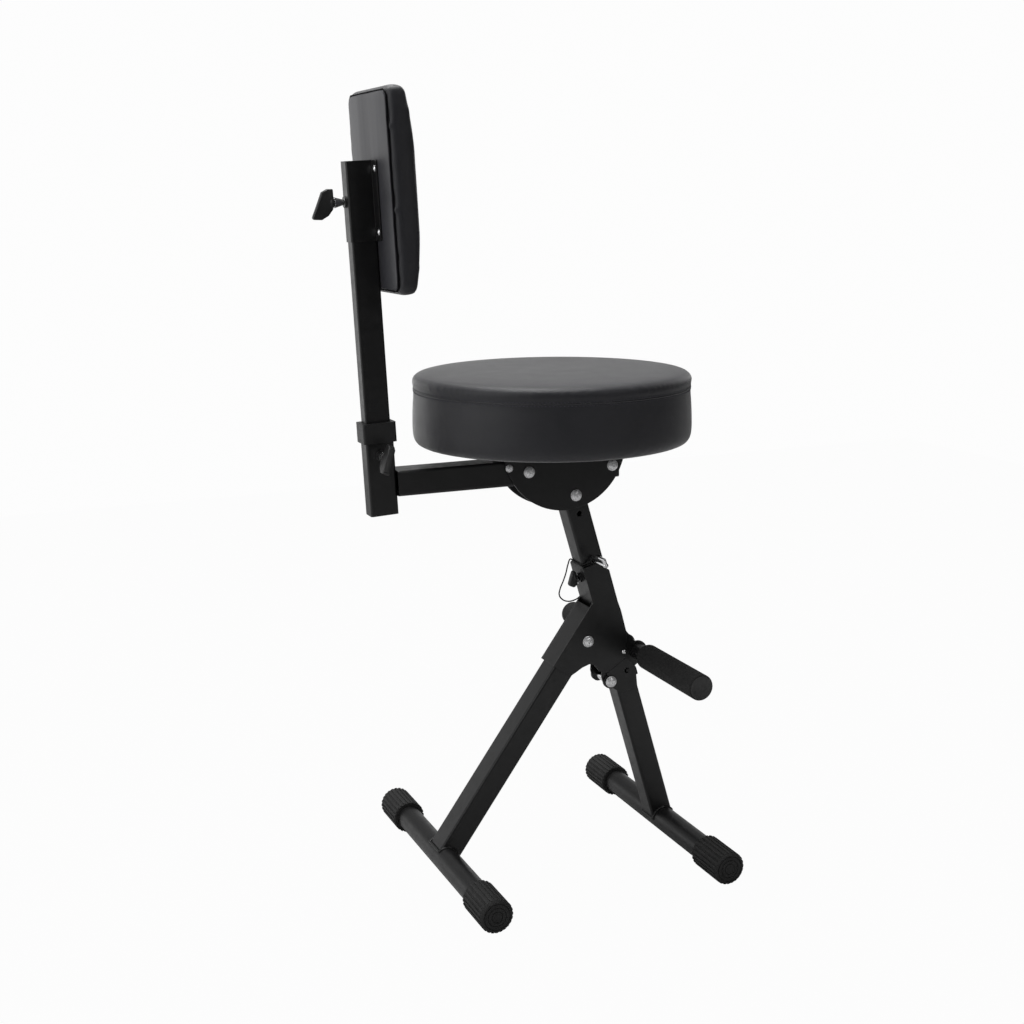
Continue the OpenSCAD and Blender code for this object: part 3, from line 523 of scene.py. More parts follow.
def braided_cord(look):
    """Thin braided lanyard."""
    made = Shades("braided_cord")
    strands = made.cells(1400, stretch=(1, 1, 0.6))
    made.colour(strands, look.plastic, 0.5, 1.4)
    made.roughness(made.noise(500), 0.6, 0.8)
    made.bump(strands, 0.0003, 0.6)
    return made.material


def stitch_thread(look):
    """Dark grey sewing thread."""
    made = Shades("stitch_thread")
    twist = made.noise(2600, stretch=(1, 1, 0.4))
    made.colour(twist, look.vinyl, 1.6, 4.0)
    made.roughness(made.noise(900), 0.5, 0.7)
    made.bump(twist, 0.0001, 0.6)
    return made.material


def seam_shadow(look):
    """Painted shade: vinyl darkened far below its own colour and kept from catching light, standing
    for the shadow in a seam's gap.
    """
    made = Shades("seam_shadow")
    # Painted shadow of the seam's gap: a small share of the vinyl's colour
    made.colour(made.noise(900), look.vinyl, 0.15, 0.3)
    made.roughness(made.noise(700), 0.8, 0.95)
    made.bump(made.noise(1500), 0.0002, 0.5)
    made.set(Specular_IOR_Level=0.1)
    return made.material


def paint(piece, material):
    piece.data.materials.clear()
    piece.data.materials.append(material)


def colour(name, description, default):
    return bpy.props.FloatVectorProperty(
        name=name, description=description, subtype="COLOR", size=3, default=default, min=0, max=1,
    )


def number(name, description, default, low=0, high=1, **settings):
    return bpy.props.FloatProperty(
        name=name, description=description, default=default, min=low, max=high, **settings,
    )


def share_of(name, description, default, low=0, high=1):
    return number(name, description, default, low, high, subtype="FACTOR")


def length(name, description, default, low, high):
    return number(name, description, default, low, high, unit="LENGTH")


def turn_of(name, description, default):
    return bpy.props.FloatProperty(
        name=name, description=description, default=default, subtype="ANGLE",
    )


class StoolLooks(bpy.types.PropertyGroup):
    """Colours and finishes that a user would change."""

    steel: colour("Steel", "Powder coat of the frame", (0.0098, 0.0098, 0.0102))
    steel_roughness: share_of("Steel roughness", "Roughness of the powder coat", 0.34, 0.1, 0.9)
    chrome: colour("Chrome", "Bolts, lock pin and studs", (0.84, 0.84, 0.85))
    rubber: colour("Rubber", "End caps and footrest grips", (0.014, 0.014, 0.014))
    plastic: colour("Plastic", "Collar, plugs and knobs", (0.011, 0.011, 0.0115))
    vinyl: colour("Vinyl", "Cover of the seat and back", (0.015, 0.015, 0.0195))
    vinyl_roughness: share_of("Vinyl roughness", "Roughness of the cover", 0.46, 0.1, 0.9)
    backing: colour("Backing", "Cloth behind the back board", (0.11, 0.11, 0.112))


class StoolSizes(bpy.types.PropertyGroup):
    """Sizes of the padded and trimmed pieces that a user would change."""

    lanyard_width: length("Lanyard", "Diameter of the lanyard", 0.0018, 0.001, 0.004)
    seat_crown: length("Seat crown", "Rise of the seat's middle over its top edge", 0.0055, 0, 0.02)
    seat_fill: length(
        "Seat fill", "Rise of the full padding's top edge over the plain solid's", 0.0042, 0, 0.01
    )
    seat_waist: length(
        "Seat waist", "How far the seat's side pulls in under its seam", 0.0022, 0, 0.01
    )
    seam_drop: length("Seam drop", "Seat seam's distance below the edge", 0.0105, 0, 0.03)
    stitch: length("Stitch", "Length of one stitch", 0.0031, 0.001, 0.01)
    back_edge: length(
        "Back edge", "How far the back pad's rear edge rounds in", 0.0058, 0, 0.01
    )
    head_grow: share_of(
        "Head growth", "Dome's radius over that of the plain head", 1.18, 1.0, 1.5
    )
    weld: length("Weld", "Half the width of a weld bead", 0.0019, 0.0005, 0.005)


class StoolStudio(bpy.types.PropertyGroup):
    """Camera, floor and backdrop."""

    lens: number(
        "Lens", "Focal length for a 36 mm sensor", 52.73, 20, 200, subtype="DISTANCE_CAMERA"
    )
    yaw: turn_of("Yaw", "Camera's turn from the stool's side", 0.395)
    pitch: turn_of("Pitch", "Camera's tilt below the horizon", 0.208)
    roll: turn_of("Roll", "Camera's roll", -0.012)
    stand: bpy.props.FloatVectorProperty(
        name="Camera stand", description="Camera's place from the middle of the base",
        subtype="TRANSLATION", size=3, default=(-0.7671, -1.7098, 0.8568), unit="LENGTH",
    )
    backdrop: number("Backdrop", "Brightness of the backdrop as the camera sees it", 0.98)
    floor_white: share_of("Floor white", "Share of the backdrop's white in the floor", 0.992)
    sweep: number("Sweep", "Brightness of the white sweep behind the stool", 1.0)
    ceiling: share_of("Ceiling", "Share of the sweep's brightness that is left overhead", 0.25)
    room: number("Room", "Brightness of the dim room in front of the stool", 0.03)


classes = []


def operator(made):
    """Names an operator after its class, and lists it for the panel and for registering."""
    made.bl_idname = "stool." + made.__name__.rpartition("_")[2]
    classes.append(made)
    return made


def base_middle():
    """Middle of the base's depth on the floor, between the two foot tubes."""
    between = (middle("front_foot_tube") + middle("rear_foot_tube")) / 2
    return Vector((between.x, 0, 0))


LAMP_AIM = Vector((0, 0, 0.5))
# Name, place, aim, width and watts of each lamp; the one without an aim points straight down
LAMPS = (
    ("key_lamp", Vector((-1.9, -0.6, 1.6)), LAMP_AIM, 1.2, 9),
    ("top_lamp", Vector((-0.2, 0.5, 2.6)), LAMP_AIM, 1.6, 50),
    ("front_lamp", Vector((0.9, -2.2, 1.9)), LAMP_AIM, 0.7, 2.5),
    ("floor_lamp", Vector((0.55, -1.35, 1.2)), None, 0.8, 3.5),
)
# Side of the bright sweep, and where it starts and ends by the cosine from that side
SWEEP_SIDE = Vector((-0.55, 0.62, 0.56)).normalized()
SWEEP_START, SWEEP_END = -0.25, 0.6
# Height on the sky, as a share, by which the ceiling is fully dim
CEILING_START = 0.36
FLOOR_WIDTH = 5.2
FLOOR_GREYS = (0.61, 0.63)


@operator
class STOOL_OT_stage(bpy.types.Operator):
    """Adds the camera, the lamps, the pale floor and the backdrop"""

    bl_label = "Studio"

    def execute(self, context):
        studio = context.scene.stool_studio
        self.add_camera(context, studio)
        self.add_floor(studio)
        self.add_world(studio)
        self.add_lamps()
        context.scene.view_settings.view_transform = "Standard"
        return {"FINISHED"}

    def add_camera(self, context, studio):
        yaw, pitch, roll = studio.yaw, studio.pitch, studio.roll
        ahead = Vector((
            math.sin(yaw) * math.cos(pitch), math.cos(yaw) * math.cos(pitch), -math.sin(pitch),
        ))
        right = Vector((math.cos(yaw), -math.sin(yaw), 0))
        above = right.cross(ahead)
        turned_right = math.cos(roll) * right + math.sin(roll) * above
        turned_above = math.cos(roll) * above - math.sin(roll) * right
        deselect()
        bpy.ops.object.camera_add()
        camera = context.object
        camera.name = "camera"
        camera.data.lens = studio.lens
        camera.data.sensor_width = 36
        camera.data.clip_end = 50
        turned = Matrix((turned_right, turned_above, -ahead)).transposed().to_4x4()
        camera.matrix_world = Matrix.Translation(Vector(studio.stand) + base_middle()) @ turned
        context.scene.camera = camera

    def add_floor(self, studio):
        deselect()
        bpy.ops.mesh.primitive_plane_add(size=FLOOR_WIDTH)
        floor = named("studio_floor")
        shades = Shades("studio_floor")
        shades.set(Roughness=0.9, Specular_IOR_Level=0.05)
        shades.colour(shades.noise(3), (1, 1, 1), *FLOOR_GREYS)
        seen = shades.add("ShaderNodeLightPath").outputs["Is Camera Ray"]
        glow = shades.add("ShaderNodeEmission", {
            "Color": (1, 1, 1, 1), "Strength": studio.backdrop,
        })
        blend = shades.add("ShaderNodeMixShader", {
            "Fac": shades.mix(seen, studio.floor_white, "MULTIPLY"),
            1: shades.shader.outputs["BSDF"], 2: glow.outputs["Emission"],
        })
        output = shades.tree.nodes["Material Output"]
        shades.link(blend.outputs["Shader"], output.inputs["Surface"])
        paint(floor, shades.material)

    def add_world(self, studio):
        """White to the camera; elsewhere a white sweep behind, and a dim ceiling and front."""
        world = bpy.data.worlds.new("studio_world")
        bpy.context.scene.world = world
        world.use_nodes = True
        sky = Nodes(world.node_tree)
        background = sky.tree.nodes["Background"]
        background.inputs["Color"].default_value = (1, 1, 1, 1)
        ahead = sky.coords.outputs["Generated"]
        towards = sky.add(
            "ShaderNodeVectorMath", {0: ahead, 1: SWEEP_SIDE}, operation="DOT_PRODUCT"
        ).outputs["Value"]
        height = sky.add("ShaderNodeSeparateXYZ", {"Vector": ahead}).outputs["Z"]
        sweep = sky.spread(
            towards, studio.room, studio.sweep, SWEEP_START, SWEEP_END, "SMOOTHSTEP"
        )
        overhead = sky.spread(height, 1.0, studio.ceiling, 0.0, CEILING_START, "SMOOTHSTEP")
        strength = sky.add("ShaderNodeMix", {
            "Factor": sky.add("ShaderNodeLightPath").outputs["Is Camera Ray"],
            "A": sky.mix(sweep, overhead, "MULTIPLY"), "B": studio.backdrop,
        })
        sky.link(strength.outputs["Result"], background.inputs["Strength"])

    def add_lamps(self):
        for name, spot, aim, width, watts in LAMPS:
            deselect()
            bpy.ops.object.light_add(type="AREA", location=spot)
            lamp = bpy.context.object
            lamp.name = name
            lamp.data.size = width
            lamp.data.energy = watts
            if aim is not None:
                lamp.rotation_euler = (aim - spot).to_track_quat("-Z", "Y").to_euler()


# What each node is made of; the rest is steel
FINISHES = (
    (chrome_plate, (
        "hub_bolt", "pivot_bolt", "pivot_spacer", "footrest_screws", "lock_pin", "lanyard_screw",
        "column_knob_stud", "arm_bolts", "column_bolt", "post_knob_stud", "bracket_knob_stud",
        "seat_screws", "back_screws",
    )),
    (moulded_rubber, ("rear_cap_right", "rear_cap_left", "front_cap_right", "front_cap_left")),
    (foam_rubber, ("footrest_grip_right", "footrest_grip_left")),
    (satin_plastic, (
        "pivot_washers", "column_end_plug", "sleeve_liner", "lock_pin_ball", "lanyard_eye",
        "column_knob", "arm_end_plug", "post_collar", "post_knob", "post_end_plug", "bracket_knob",
    )),
    (grained_vinyl, ("seat_cushion", "back_pad")),
    (backing_cloth, ("seat_board", "back_board")),
    (braided_cord, ("lanyard",)),
)


@operator
class STOOL_OT_finishes(bpy.types.Operator):
    """Gives every node of the frame its finish"""

    bl_label = "Frame finishes"

    def execute(self, context):
        looks = context.scene.stool_looks
        steel = powder_coat(looks)
        for build in (pulled_vinyl, stitch_thread, seam_shadow, zinc_plate, end_skin):
            build(looks)
        finish_of = {}
        for build, nodes in FINISHES:
            finish_of.update(dict.fromkeys(nodes, build(looks)))
        for node, piece in frame["nodes"].items():
            paint(piece, finish_of.get(node, steel))
        return {"FINISHED"}


# Route of the lanyard up the mast: forward, left and along from the front foot tube, millimetres
LANYARD_ROUTE = (
    (-5.2, -19.1, 391), (-8.5, -18, 390), (-13, -16.8, 389), (-16.8, -13, 389), (-16.8, -4, 389),
    (-16.8, 8, 389.5), (-17, 17, 390), (-20.5, 21.8, 382), (-26, 22.6, 372), (-32.5, 23, 363),
    (-40, 23, 354), (-43, 23, 347), (-40.5, 23, 339.7), (-35, 22.7, 334.8), (-27, 22.4, 332.6),
    (-17, 22, 334), (-7.1, 21.4, 342.6),
)


def mast_point(forward, left, along):
    """Place near the mast, measured in millimetres from the middle of the front foot tube."""
    steps = MAST_FRONT * forward + LEFT * left + MAST_UP * along
    return middle("front_foot_tube") + steps / 1000


@operator
class STOOL_OT_lanyard(bpy.types.Operator):
    """Adds the thin cord that keeps the lock pin with the stool"""

    bl_label = "Lanyard"

    def execute(self, context):
        width = context.scene.stool_sizes.lanyard_width
        points = [mast_point(*stop) for stop in LANYARD_ROUTE]
        deselect()
        bpy.ops.curve.primitive_bezier_curve_add(location=(0, 0, 0))
        braid = named("lanyard_braid")
        braid.data.splines.clear()
        spline = braid.data.splines.new("BEZIER")
        spline.bezier_points.add(len(points) - 1)
        for bend, point in zip(spline.bezier_points, points):
            bend.co = point
            bend.handle_left_type = bend.handle_right_type = "AUTO"
        spline.resolution_u = 8
        braid.data.dimensions = "3D"
        braid.data.bevel_depth = width / 2
        braid.data.bevel_resolution = 3
        braid.data.use_fill_caps = True
        finish(braid, "base", "braided_cord")
        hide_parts("lanyard")
        knots = self.add_knots(points, width)
        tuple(points[0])
        return {"FINISHED"}

    def add_knots(self, points, width):
        """Small overhand knots: two and a half turns of the cord about itself at each end."""
        steps, turns, height, reach = 27, 2.5, 0.0034, width * 0.82
        knots = []
        for end, after in ((points[0], points[1]), (points[-1], points[-2])):
            along = (after - end).normalized()
            turned = frame_matrix(end + along * 0.0022, LEFT, along)
            coil = []
            for step in range(steps + 1):
                angle = step * 2 * math.pi * turns / steps
                coil.append(turned @ Vector((
                    reach * math.cos(angle), reach * math.sin(angle), (step / steps - 0.5) * height,
                )))
            knots.append(rod("knot", coil, width * 0.42))
        return finish(join(knots, "lanyard_knots"), "base", "braided_cord")


# Height of the seat's rim over its bottom, and radius of the bottom's step round the board
SEAT_RIM = 0.080
BOARD_REACH = 0.160
# How far the seam lies inside the seat's radius, and its rows of stitches above and below it
SEAM_INSET = 0.0022
STITCH_ROW = 0.0022
STITCH_COUNT = 254
STAPLE_REACH = 0.1545
STAPLE_COUNT = 48


@operator
class STOOL_OT_seat(bpy.types.Operator):
    """Adds the seat's cushion with its seam, two rows of stitches and staples underneath"""

    bl_label = "Seat cushion"

    def execute(self, context):
        sizes = context.scene.stool_sizes
        low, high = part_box("seat_cushion")
        self.centre = Vector(((low.x + high.x) / 2, 0, low.z))
        self.radius = (high.x - low.x) / 2
        self.seam = SEAT_RIM - sizes.seam_drop
        cushion = lathe("seat_padding", self.profile(sizes), 160)
        place(cushion, Matrix.Translation(self.centre))
        modify(cushion, "REMESH", mode="VOXEL", voxel_size=PAD_CELL)
        modify(cushion, "SMOOTH", factor=0.5, iterations=1)
        swell(cushion, 0.002, 3.0, self.held)
        self.draw_seam_in(cushion)
        modify(cushion, "SUBSURF", levels=1, render_levels=1)
        finish(cushion, "seat_column", "grained_vinyl", 180)
        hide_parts("seat_cushion")
        self.add_seam(sizes)
        self.add_staples()
        return {"FINISHED"}

    def polar(self, point):
        away = point - self.centre
        return math.hypot(away.x, away.y), away.z

    def profile(self, sizes):
        """Half section from the lifted bottom over the board, round the side to the crown."""
        full, rim, seam = self.radius, SEAT_RIM + sizes.seat_fill, self.seam
        waist = full - sizes.seat_waist
        edge, crown = rim + 0.0046, sizes.seat_crown
        return [
            (0.001, 0.005), (0.157, 0.005), (BOARD_REACH, 0.0006),
            (full - 0.0095, 0.0003), (full - 0.0052, 0.0022), (full - 0.0022, 0.0060),
            (full - 0.0005, 0.0120), (full, 0.0220), (full - 0.0003, 0.0350),
            (waist + 0.0012, 0.0500), (waist, seam - 0.006), (waist + 0.0002, seam),
            (full - 0.0010, seam + 0.0055), (full - 0.0004, rim - 0.0045),
            (full - 0.0012, rim - 0.0016), (full - 0.0034, rim + 0.0010),
            (full - 0.0068, rim + 0.0030), (full - 0.0120, edge),
            (full - 0.026, edge + crown * 0.26), (full - 0.056, edge + crown * 0.55),
            (full - 0.096, edge + crown * 0.82), (full - 0.136, edge + crown * 0.95),
            (0.001, edge + crown),
        ]

    def held(self, point):
        reach, height = self.polar(point)
        if height < 0.012 or (reach > BOARD_REACH and abs(height - self.seam) < 0.006):
            return 1.0
        return 0.75 if reach > BOARD_REACH else 0.15

    def draw_seam_in(self, cushion):
        """Puts the seam's ring back on one true circle."""
        for vertex in cushion.data.vertices:
            reach, height = self.polar(vertex.co)
            if reach < BOARD_REACH + 0.005:
                continue
            share = hump(height, self.seam, 0.0045)
            scale = 1 + share * ((self.radius - SEAM_INSET) / reach - 1)
            vertex.co.x = self.centre.x + (vertex.co.x - self.centre.x) * scale
            vertex.co.y *= scale

    def add_seam(self, sizes):
        """A thin folded lip between two rows of stitches."""
        reach = self.radius - SEAM_INSET
        lip = []
        for step in range(120):
            angle = step * math.pi / 60
            lip.append(Vector((reach * math.cos(angle), reach * math.sin(angle), self.seam)))
        ring = rod("seat_seam", lip, 0.0009, cyclic=True)
        place(ring, Matrix.Translation(self.centre))
        finish(ring, "seat_column", "grained_vinyl", 40)
        rows = []
        for height in (self.seam + STITCH_ROW, self.seam - STITCH_ROW):
            deselect()
            bpy.ops.mesh.primitive_uv_sphere_add(segments=6, ring_count=5, radius=0.5)
            stitch = named("stitch")
            with editing(stitch):
                bpy.ops.transform.resize(value=(0.0011, sizes.stitch, 0.0011))
                bpy.ops.transform.translate(value=(reach + 0.0002, 0, height))
            for vertex in stitch.data.vertices:
                vertex.co.x -= 0.0003 * (abs(vertex.co.y) / (sizes.stitch / 2)) ** 2
            rows.append(around(stitch, STITCH_COUNT))
        stitches = join(rows, "seat_stitches")
        place(stitches, Matrix.Translation(self.centre))
        finish(stitches, "seat_column", "stitch_thread", 60)

    def add_staples(self):
        """Wire staples around the underside of the seat board."""
        wire = [
            Vector((STAPLE_REACH, y, z))
            for y, z in ((-0.005, 0.0008), (-0.0045, -0.0003), (0.0045, -0.0003), (0.005, 0.0008))
        ]
        staples = around(rod("seat_staples", wire, 0.0004), STAPLE_COUNT)
        place(staples, Matrix.Translation(self.centre))
        finish(staples, "seat_column", "bright_chrome")


# Back: depth over which its rear edge rounds in, and radius and steps of its corners
EDGE_DEPTH = 0.011
CORNER_RADIUS = 0.011
CORNER_STEPS = 6


@operator
class STOOL_OT_back(bpy.types.Operator):
    """Adds the back's cushion, its rear panel, a painted shadow along the seam between them, and
    the staples
    """

    bl_label = "Back cushion"

    def execute(self, context):
        sizes = context.scene.stool_sizes
        board_low = span("back_board", POST_FRONT)[0]
        along_low, along_high = span("back_pad", POST_UP)
        self.half_height = (along_high - along_low) / 2
        self.half_width = size("back_pad").y / 2
        self.origin = POST_FRONT * board_low + POST_UP * (along_low + along_high) / 2
        self.edge = sizes.back_edge
        cushion = hull_of("back_pad", "back_padding")
        modify(cushion, "REMESH", mode="VOXEL", voxel_size=PAD_CELL)
        modify(cushion, "SMOOTH", factor=0.5, iterations=4)
        self.shape(cushion)
        swell(cushion, 0.004, 3.5, self.held)
        self.crease(cushion)
        modify(cushion, "SUBSURF", levels=1, render_levels=1)
        finish(cushion, "backrest", "grained_vinyl", 180)
        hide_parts("back_pad")
        self.add_panel()
        self.add_seam()
        self.add_staples()
        return {"FINISHED"}

    def local(self, point):
        away = point - self.origin
        return away.dot(POST_FRONT), away.y, away.dot(POST_UP)

    def world(self, depth, across, along):
        return self.origin + POST_FRONT * depth + LEFT * across + POST_UP * along

    def shape(self, cushion):
        """Rounds the rear edge in towards the panel."""
        for vertex in cushion.data.vertices:
            depth, across, along = self.local(vertex.co)
            share = max(0.0, 1 - depth / EDGE_DEPTH) ** 2 * self.edge
            side = across / self.half_width
            end = along / self.half_height
            across -= share * math.copysign(ease(abs(side), 0.8, 0.98), side)
            along -= share * math.copysign(ease(abs(end), 0.88, 0.99), end)
            if depth < 0.002:
                depth += 0.0015
            vertex.co = self.world(depth, across, along)

    def held(self, point):
        depth = self.local(point)[0]
        if depth < 0.004:
            return 1.0
        return 0.35 if depth < 0.018 else 0.2

    def crease(self, cushion):
        """Gathers of the cover at the corners of the pad's sides."""
        for vertex in cushion.data.vertices:
            depth, across, along = self.local(vertex.co)
            if abs(across) < self.half_width - 0.012 or depth < 0.002:
                continue
            from_end = self.half_height - abs(along)
            fold = -0.0011 * hump(from_end - 0.35 * depth, 0.020, 0.0035)
            fold *= ease(depth, 0.002, 0.014)
            fold += -0.0007 * hump(from_end + 0.2 * depth, 0.036, 0.003) * ease(depth, 0.0, 0.02)
            slow = 0.0003 * math.sin(along * 47 + depth * 60)
            vertex.co.y += math.copysign(fold + slow * ease(from_end, 0.0, 0.03), across)

    def outline(self, inset):
        """Points of the pad's rounded rectangle, drawn in by inset."""
        width = self.half_width - inset - CORNER_RADIUS
        height = self.half_height - inset - CORNER_RADIUS
        points = []
        for corner, (x, y) in enumerate(((1, 1), (-1, 1), (-1, -1), (1, -1))):
            for step in range(CORNER_STEPS + 1):
                angle = (corner + step / CORNER_STEPS) * math.pi / 2
                points.append((
                    x * width + CORNER_RADIUS * math.cos(angle),
                    y * height + CORNER_RADIUS * math.sin(angle),
                ))
        return points

    def add_panel(self):
        """Vinyl panel pulled over the back board."""
        panel = extruded("back_panel", self.outline(self.edge + 0.0005), 0.004)
        place(panel, frame_matrix(self.world(0.0021, 0, 0), LEFT, POST_UP))
        rounded(panel, 0.0014, 3, 40)
        finish(panel, "backrest", "panel_vinyl", 50)
        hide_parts("back_board")

    def add_seam(self):
        """A rod in the seam_shadow material where the panel meets the pad: painted shadow of the
        seam's gap, a little wavy from the gathers.
        """
        line = []
        outline = self.outline(self.edge - 0.0002)
        for count, (across, along) in enumerate(outline):
            after = outline[(count + 1) % len(outline)]
            gap = math.dist((across, along), after)
            pieces = max(1, round(gap / 0.007))
            for step in range(pieces):
                share = step / pieces
                wave = 0.00035 * math.sin(len(line) * 1.9) + 0.0003 * math.sin(len(line) * 0.73)
                x = across + (after[0] - across) * share
                y = along + (after[1] - along) * share
                line.append(self.world(0.0018 + wave, x * (1 + wave * 6), y))
        # Painted shadow: a dark rod stands for the shade in the gap between panel and pad
        seam = rod("back_seam_painted_shadow", line, 0.0011, cyclic=True)
        finish(seam, "backrest", "seam_shadow", 40)

    def add_staples(self):
        """Wire staples along the panel's top and a few along its bottom, painted with the seam's
        painted shade.
        """
        staples = []
        tops = [(-0.058 + 0.0193 * count, self.half_height - 0.0155) for count in range(7)]
        bottoms = [
            (across, along - self.half_height)
            for across, along in ((-0.05, 0.016), (-0.018, 0.014), (0.02, 0.016), (0.052, 0.015))
        ]
        for count, (across, along) in enumerate(tops + bottoms):
            tilt = 0.0007 * math.sin(3.1 * count)
            wire = [
                self.world(depth, across + side * reach, along + side * tilt)
                for side, reach, depth in (
                    (-1, 0.0050, 0.0017), (-1, 0.0046, 0.00075), (1, 0.0046, 0.00075),
                    (1, 0.0050, 0.0017),
                )
            ]
            staples.append(rod("staple", wire, 0.0009))
        # Painted shade: the staples take seam_shadow, darker than the vinyl and without highlights
        finish(join(staples, "back_staples"), "backrest", "seam_shadow")


# Outlines of the knobs' wings, as shares of reach and breadth: the back's two, then the column's
WING_OUTLINE = (
    (0.335, 0.46), (0.50, 0.47), (0.68, 0.37), (0.86, -0.08), (1.02, -0.46), (0.98, -0.53),
    (0.74, -0.55), (0.52, -0.42), (0.37, -0.22), (0.335, 0.0),
)
SHORT_WING_OUTLINE = (
    (0.12, 0.36), (0.34, 0.40), (0.62, 0.14), (0.96, -0.22), (0.98, -0.34), (0.62, -0.52),
    (0.30, -0.42), (0.12, -0.2),
)
# Turn of the post knob's wing from level towards upright
POST_WING_TURN = math.radians(63)


@operator
class STOOL_OT_knobs(bpy.types.Operator):
    """Adds the three wing knobs, each a rounded paddle on a ribbed hub"""

    bl_label = "Wing knobs"

    def execute(self, context):
        post_up = POST_FRONT * math.cos(POST_WING_TURN) + POST_UP * math.sin(POST_WING_TURN)
        for node, outline, out, up, reach, breadth, share, lift in (
            ("column_knob", SHORT_WING_OUTLINE, MAST_FRONT * -1, MAST_UP, 0.017, 0.026, 0.9, 0.003),
            ("post_knob", WING_OUTLINE, LEFT * -1, post_up, 0.038, 0.034, 1.0, 0.0),
            ("bracket_knob", WING_OUTLINE, POST_FRONT * -1, POST_UP, 0.038, 0.034, 1.0, 0.0),
        ):
            self.add_knob(node, outline, out, up, reach, breadth, share, lift)
        return {"FINISHED"}

    def add_knob(self, node, outline, out, up, reach, breadth, share, lift):
        near, far = span(node, out)
        low = span(node, up)[0]
        side = out.cross(up)
        left, right = span(node, side)
        root = (
            out * (far - reach) + up * (low + 0.53 * breadth + lift)
            + side * (left + right) / 2
        )
        start = near - (far - reach)
        paddle = extruded(
            node + "_paddle",
            [(start + (a * reach - start) * share, b * breadth * share) for a, b in outline],
            0.0088 * min(1, share * 1.05),
        )
        rounded(paddle, 0.0022 * share, 4, 50)
        place(paddle, frame_matrix(root, out, up))
        hub_end = start + (0.45 * reach - start) * share
        hub = lathe(node + "_hub", [
            (0.0042 * share, 0.0006), (0.0058 * share, 0.0009), (0.0064 * share, 0.0018),
            (0.0064 * share, (hub_end - start) * 0.7), (0.0052 * share, hub_end - start),
        ], 40)
        for vertex in hub.data.vertices:
            angle = math.atan2(vertex.co.y, vertex.co.x)
            if 0.001 < vertex.co.z:
                swing = 1 + 0.025 * math.cos(12 * angle)
                vertex.co.x *= swing
                vertex.co.y *= swing
        place(hub, frame_matrix(root + out * start, up, out))
        knob = join([paddle, hub], node + "_wing")
        finish(knob, node, "satin_plastic", 35)
        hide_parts(node)


@operator
class STOOL_OT_heads(bpy.types.Operator):
    """Adds a low dome with flange and centre mark over each bolt's head; its brightness is painted
    reflection
    """

    bl_label = "Bolt heads"

    def execute(self, context):
        grow = context.scene.stool_sizes.head_grow
        for node, body, face in (
            ("arm_bolts", "seat_column", "cheek_right"),
            ("column_bolt", "seat_column", "cheek_right"),
            ("hub_bolt", "base", "hub_plate_right"), ("pivot_bolt", "base", "pivot_washers"),
        ):
            plane = -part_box(face)[0].y
            caps = []
            for centre, radius, height in self.heads(node, plane):
                caps.append(self.cap(centre, radius * grow, height))
            domes = join(caps, node + "_domes")
            finish(domes, body, "zinc_painted_reflection", 35)
        return {"FINISHED"}

    def heads(self, node, plane):
        """Middle, radius and height of each head that stands out on the right side."""
        groups = []
        for vertex in frame["nodes"][node].data.vertices:
            if vertex.co.y > -plane - 0.0003:
                continue
            for group in groups:
                if math.hypot(group[0].x - vertex.co.x, group[0].z - vertex.co.z) < 0.02:
                    group.append(vertex.co)
                    break
            else:
                groups.append([vertex.co])
        for group in groups:
            xs, zs = [p.x for p in group], [p.z for p in group]
            radius = (max(zs) - min(zs)) / 2
            centre = Vector(((max(xs) + min(xs)) / 2, -plane, (max(zs) + min(zs)) / 2))
            yield centre, radius, -min(p.y for p in group) - plane

    def cap(self, centre, radius, height):
        top = height + 0.0006
        dome = lathe("dome", [
            (radius * 0.96, 0.0001), (radius, 0.0005), (radius * 0.985, 0.0011),
            (radius * 0.9, 0.0015), (radius * 0.86, top * 0.62), (radius * 0.68, top * 0.86),
            (radius * 0.42, top * 0.98), (radius * 0.2, top), (radius * 0.16, top * 0.9),
            (radius * 0.04, top * 0.88),
        ], 40)
        return place(dome, frame_matrix(centre, UP, LEFT * -1))


@operator
class STOOL_OT_welds(bpy.types.Operator):
    """Adds the weld beads where the legs stand on the foot tubes"""

    bl_label = "Weld beads"

    def execute(self, context):
        radius = context.scene.stool_sizes.weld
        for leg, tube, body, up in (
            ("rear_leg", "rear_foot_tube", "base", REAR_LEG_UP),
            ("front_leg", "front_foot_tube", "front_leg", MAST_UP),
        ):
            self.add_bead(leg, tube, body, up, radius)
        return {"FINISHED"}

    def add_bead(self, leg, tube, body, up, radius):
        across = up.cross(LEFT)
        centre = middle(tube)
        tube_radius = size(tube).z / 2
        half_width = size(leg).y / 2
        near, far = span(leg, across)
        low, high = near - centre.dot(across), far - centre.dot(across)
        low, high = max(low, -tube_radius * 0.97), min(high, tube_radius * 0.97)
        ring = []
        for count in range(64):
            share = count / 16
            side, step = int(share), share % 1
            y, t = (
                (-half_width + 2 * half_width * step, low),
                (half_width, low + (high - low) * step),
                (half_width - 2 * half_width * step, high),
                (-half_width, high + (low - high) * step),
            )[side]
            rise = math.sqrt(tube_radius**2 - t**2)
            ripple = 0.0005 * math.sin(count * 2.6)
            ring.append(centre + LEFT * y + across * t + up * (rise + 0.0004 + ripple))
        bead = rod(leg + "_weld", ring, radius, sides=12, cyclic=True)
        finish(bead, body, "black_powder_coat", 60)


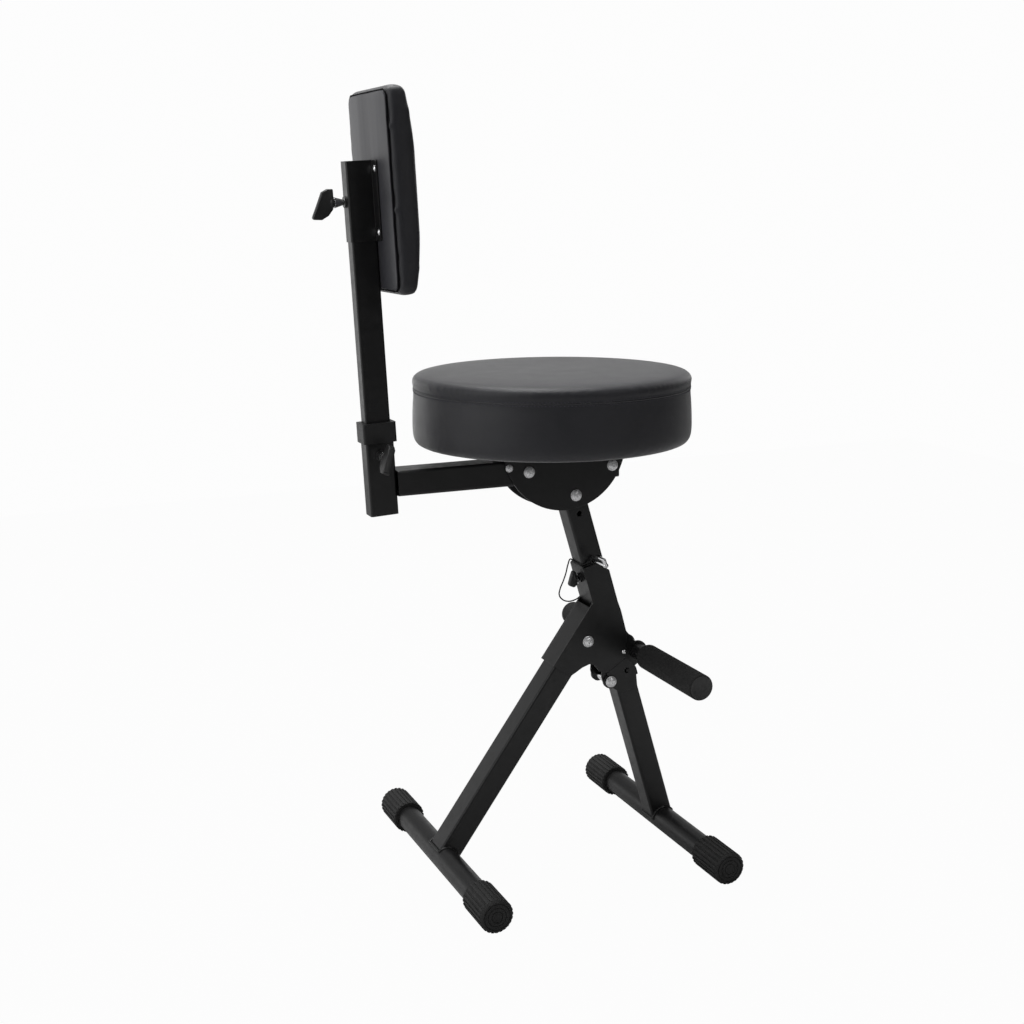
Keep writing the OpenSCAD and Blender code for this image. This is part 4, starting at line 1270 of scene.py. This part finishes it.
@operator
class STOOL_OT_footrest(bpy.types.Operator):
    """Adds the plugs in the footrest bar's ends and the rings of painted light at the ends of its
    grips
    """

    bl_label = "Footrest ends"

    def execute(self, context):
        bar = middle("footrest_bar")
        reach = size("footrest_bar").y / 2
        bar_radius = size("footrest_bar").z / 2
        for side, name in ((-1, "right"), (1, "left")):
            plug = lathe("footrest_plug_" + name, [
                (0.0015, 0.0012), (bar_radius * 0.55, 0.0016), (bar_radius * 0.66, 0.0020),
                (bar_radius * 0.9, 0.0020), (bar_radius * 0.98, 0.0012),
                (bar_radius * 0.98, -0.001), (bar_radius * 0.5, -0.001),
            ], 48)
            place(plug, frame_matrix(bar + LEFT * side * reach, UP, LEFT * side))
            finish(plug, "base", "satin_plastic", 40)
            low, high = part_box("footrest_grip_" + name)
            radius = (high.z - low.z) / 2
            face = max(abs(low.y), abs(high.y))
            disc = lathe("grip_end_" + name, [
                (radius * 0.70, 0.0002), (radius * 0.74, 0.0007), (radius * 0.86, 0.0008),
                (radius * 0.90, 0.0003), (radius * 0.90, -0.0008), (radius * 0.68, -0.0008),
            ], 64)
            place(disc, frame_matrix(Vector((bar.x, side * face, bar.z)), UP, LEFT * side))
            finish(disc, "base", "end_skin", 40)
        return {"FINISHED"}


# Middle of the lock hole through the fold bracket, in X and Z
LOCK_HOLE = (0.160, 0.242)


@operator
class STOOL_OT_button(bpy.types.Operator):
    """Adds the spring button that shows in the fold bracket's lock hole"""

    bl_label = "Lock button"

    def execute(self, context):
        buttons = []
        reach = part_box("fold_bracket")[1].y
        for side in (-1, 1):
            button = lathe("button", [
                (0.0031, -0.0030), (0.0031, -0.0009), (0.0027, -0.0005), (0.0016, -0.0003),
                (0.0004, -0.0003),
            ], 32)
            spot = Vector((LOCK_HOLE[0], side * reach, LOCK_HOLE[1]))
            buttons.append(place(button, frame_matrix(spot, UP, LEFT * side)))
        pair = join(buttons, "lock_buttons")
        finish(pair, "front_leg", "black_powder_coat", 40)
        return {"FINISHED"}


class STOOL_PT_panel(bpy.types.Panel):
    """Sidebar panel of the stool"""

    bl_label = "Folding stool"
    bl_idname = "STOOL_PT_panel"
    bl_space_type = "VIEW_3D"
    bl_region_type = "UI"
    bl_category = "Stool"

    def draw(self, context):
        layout = self.layout
        groups = (context.scene.stool_looks, context.scene.stool_sizes, context.scene.stool_studio)
        for group in groups:
            box = layout.box()
            for name in group.__annotations__:
                box.prop(group, name)
        for made in classes:
            layout.operator(made.bl_idname)


def register():
    for made in (StoolLooks, StoolSizes, StoolStudio, *classes, STOOL_PT_panel):
        bpy.utils.register_class(made)
    bpy.types.Scene.stool_looks = bpy.props.PointerProperty(type=StoolLooks)
    bpy.types.Scene.stool_sizes = bpy.props.PointerProperty(type=StoolSizes)
    bpy.types.Scene.stool_studio = bpy.props.PointerProperty(type=StoolStudio)


def unregister():
    del bpy.types.Scene.stool_studio
    del bpy.types.Scene.stool_sizes
    del bpy.types.Scene.stool_looks
    for made in reversed((StoolLooks, StoolSizes, StoolStudio, *classes, STOOL_PT_panel)):
        bpy.utils.unregister_class(made)


def main():
    register()
    for made in classes:
        group, name = made.bl_idname.split(".")
        getattr(getattr(bpy.ops, group), name)()


if __name__ == "__main__":
    main()
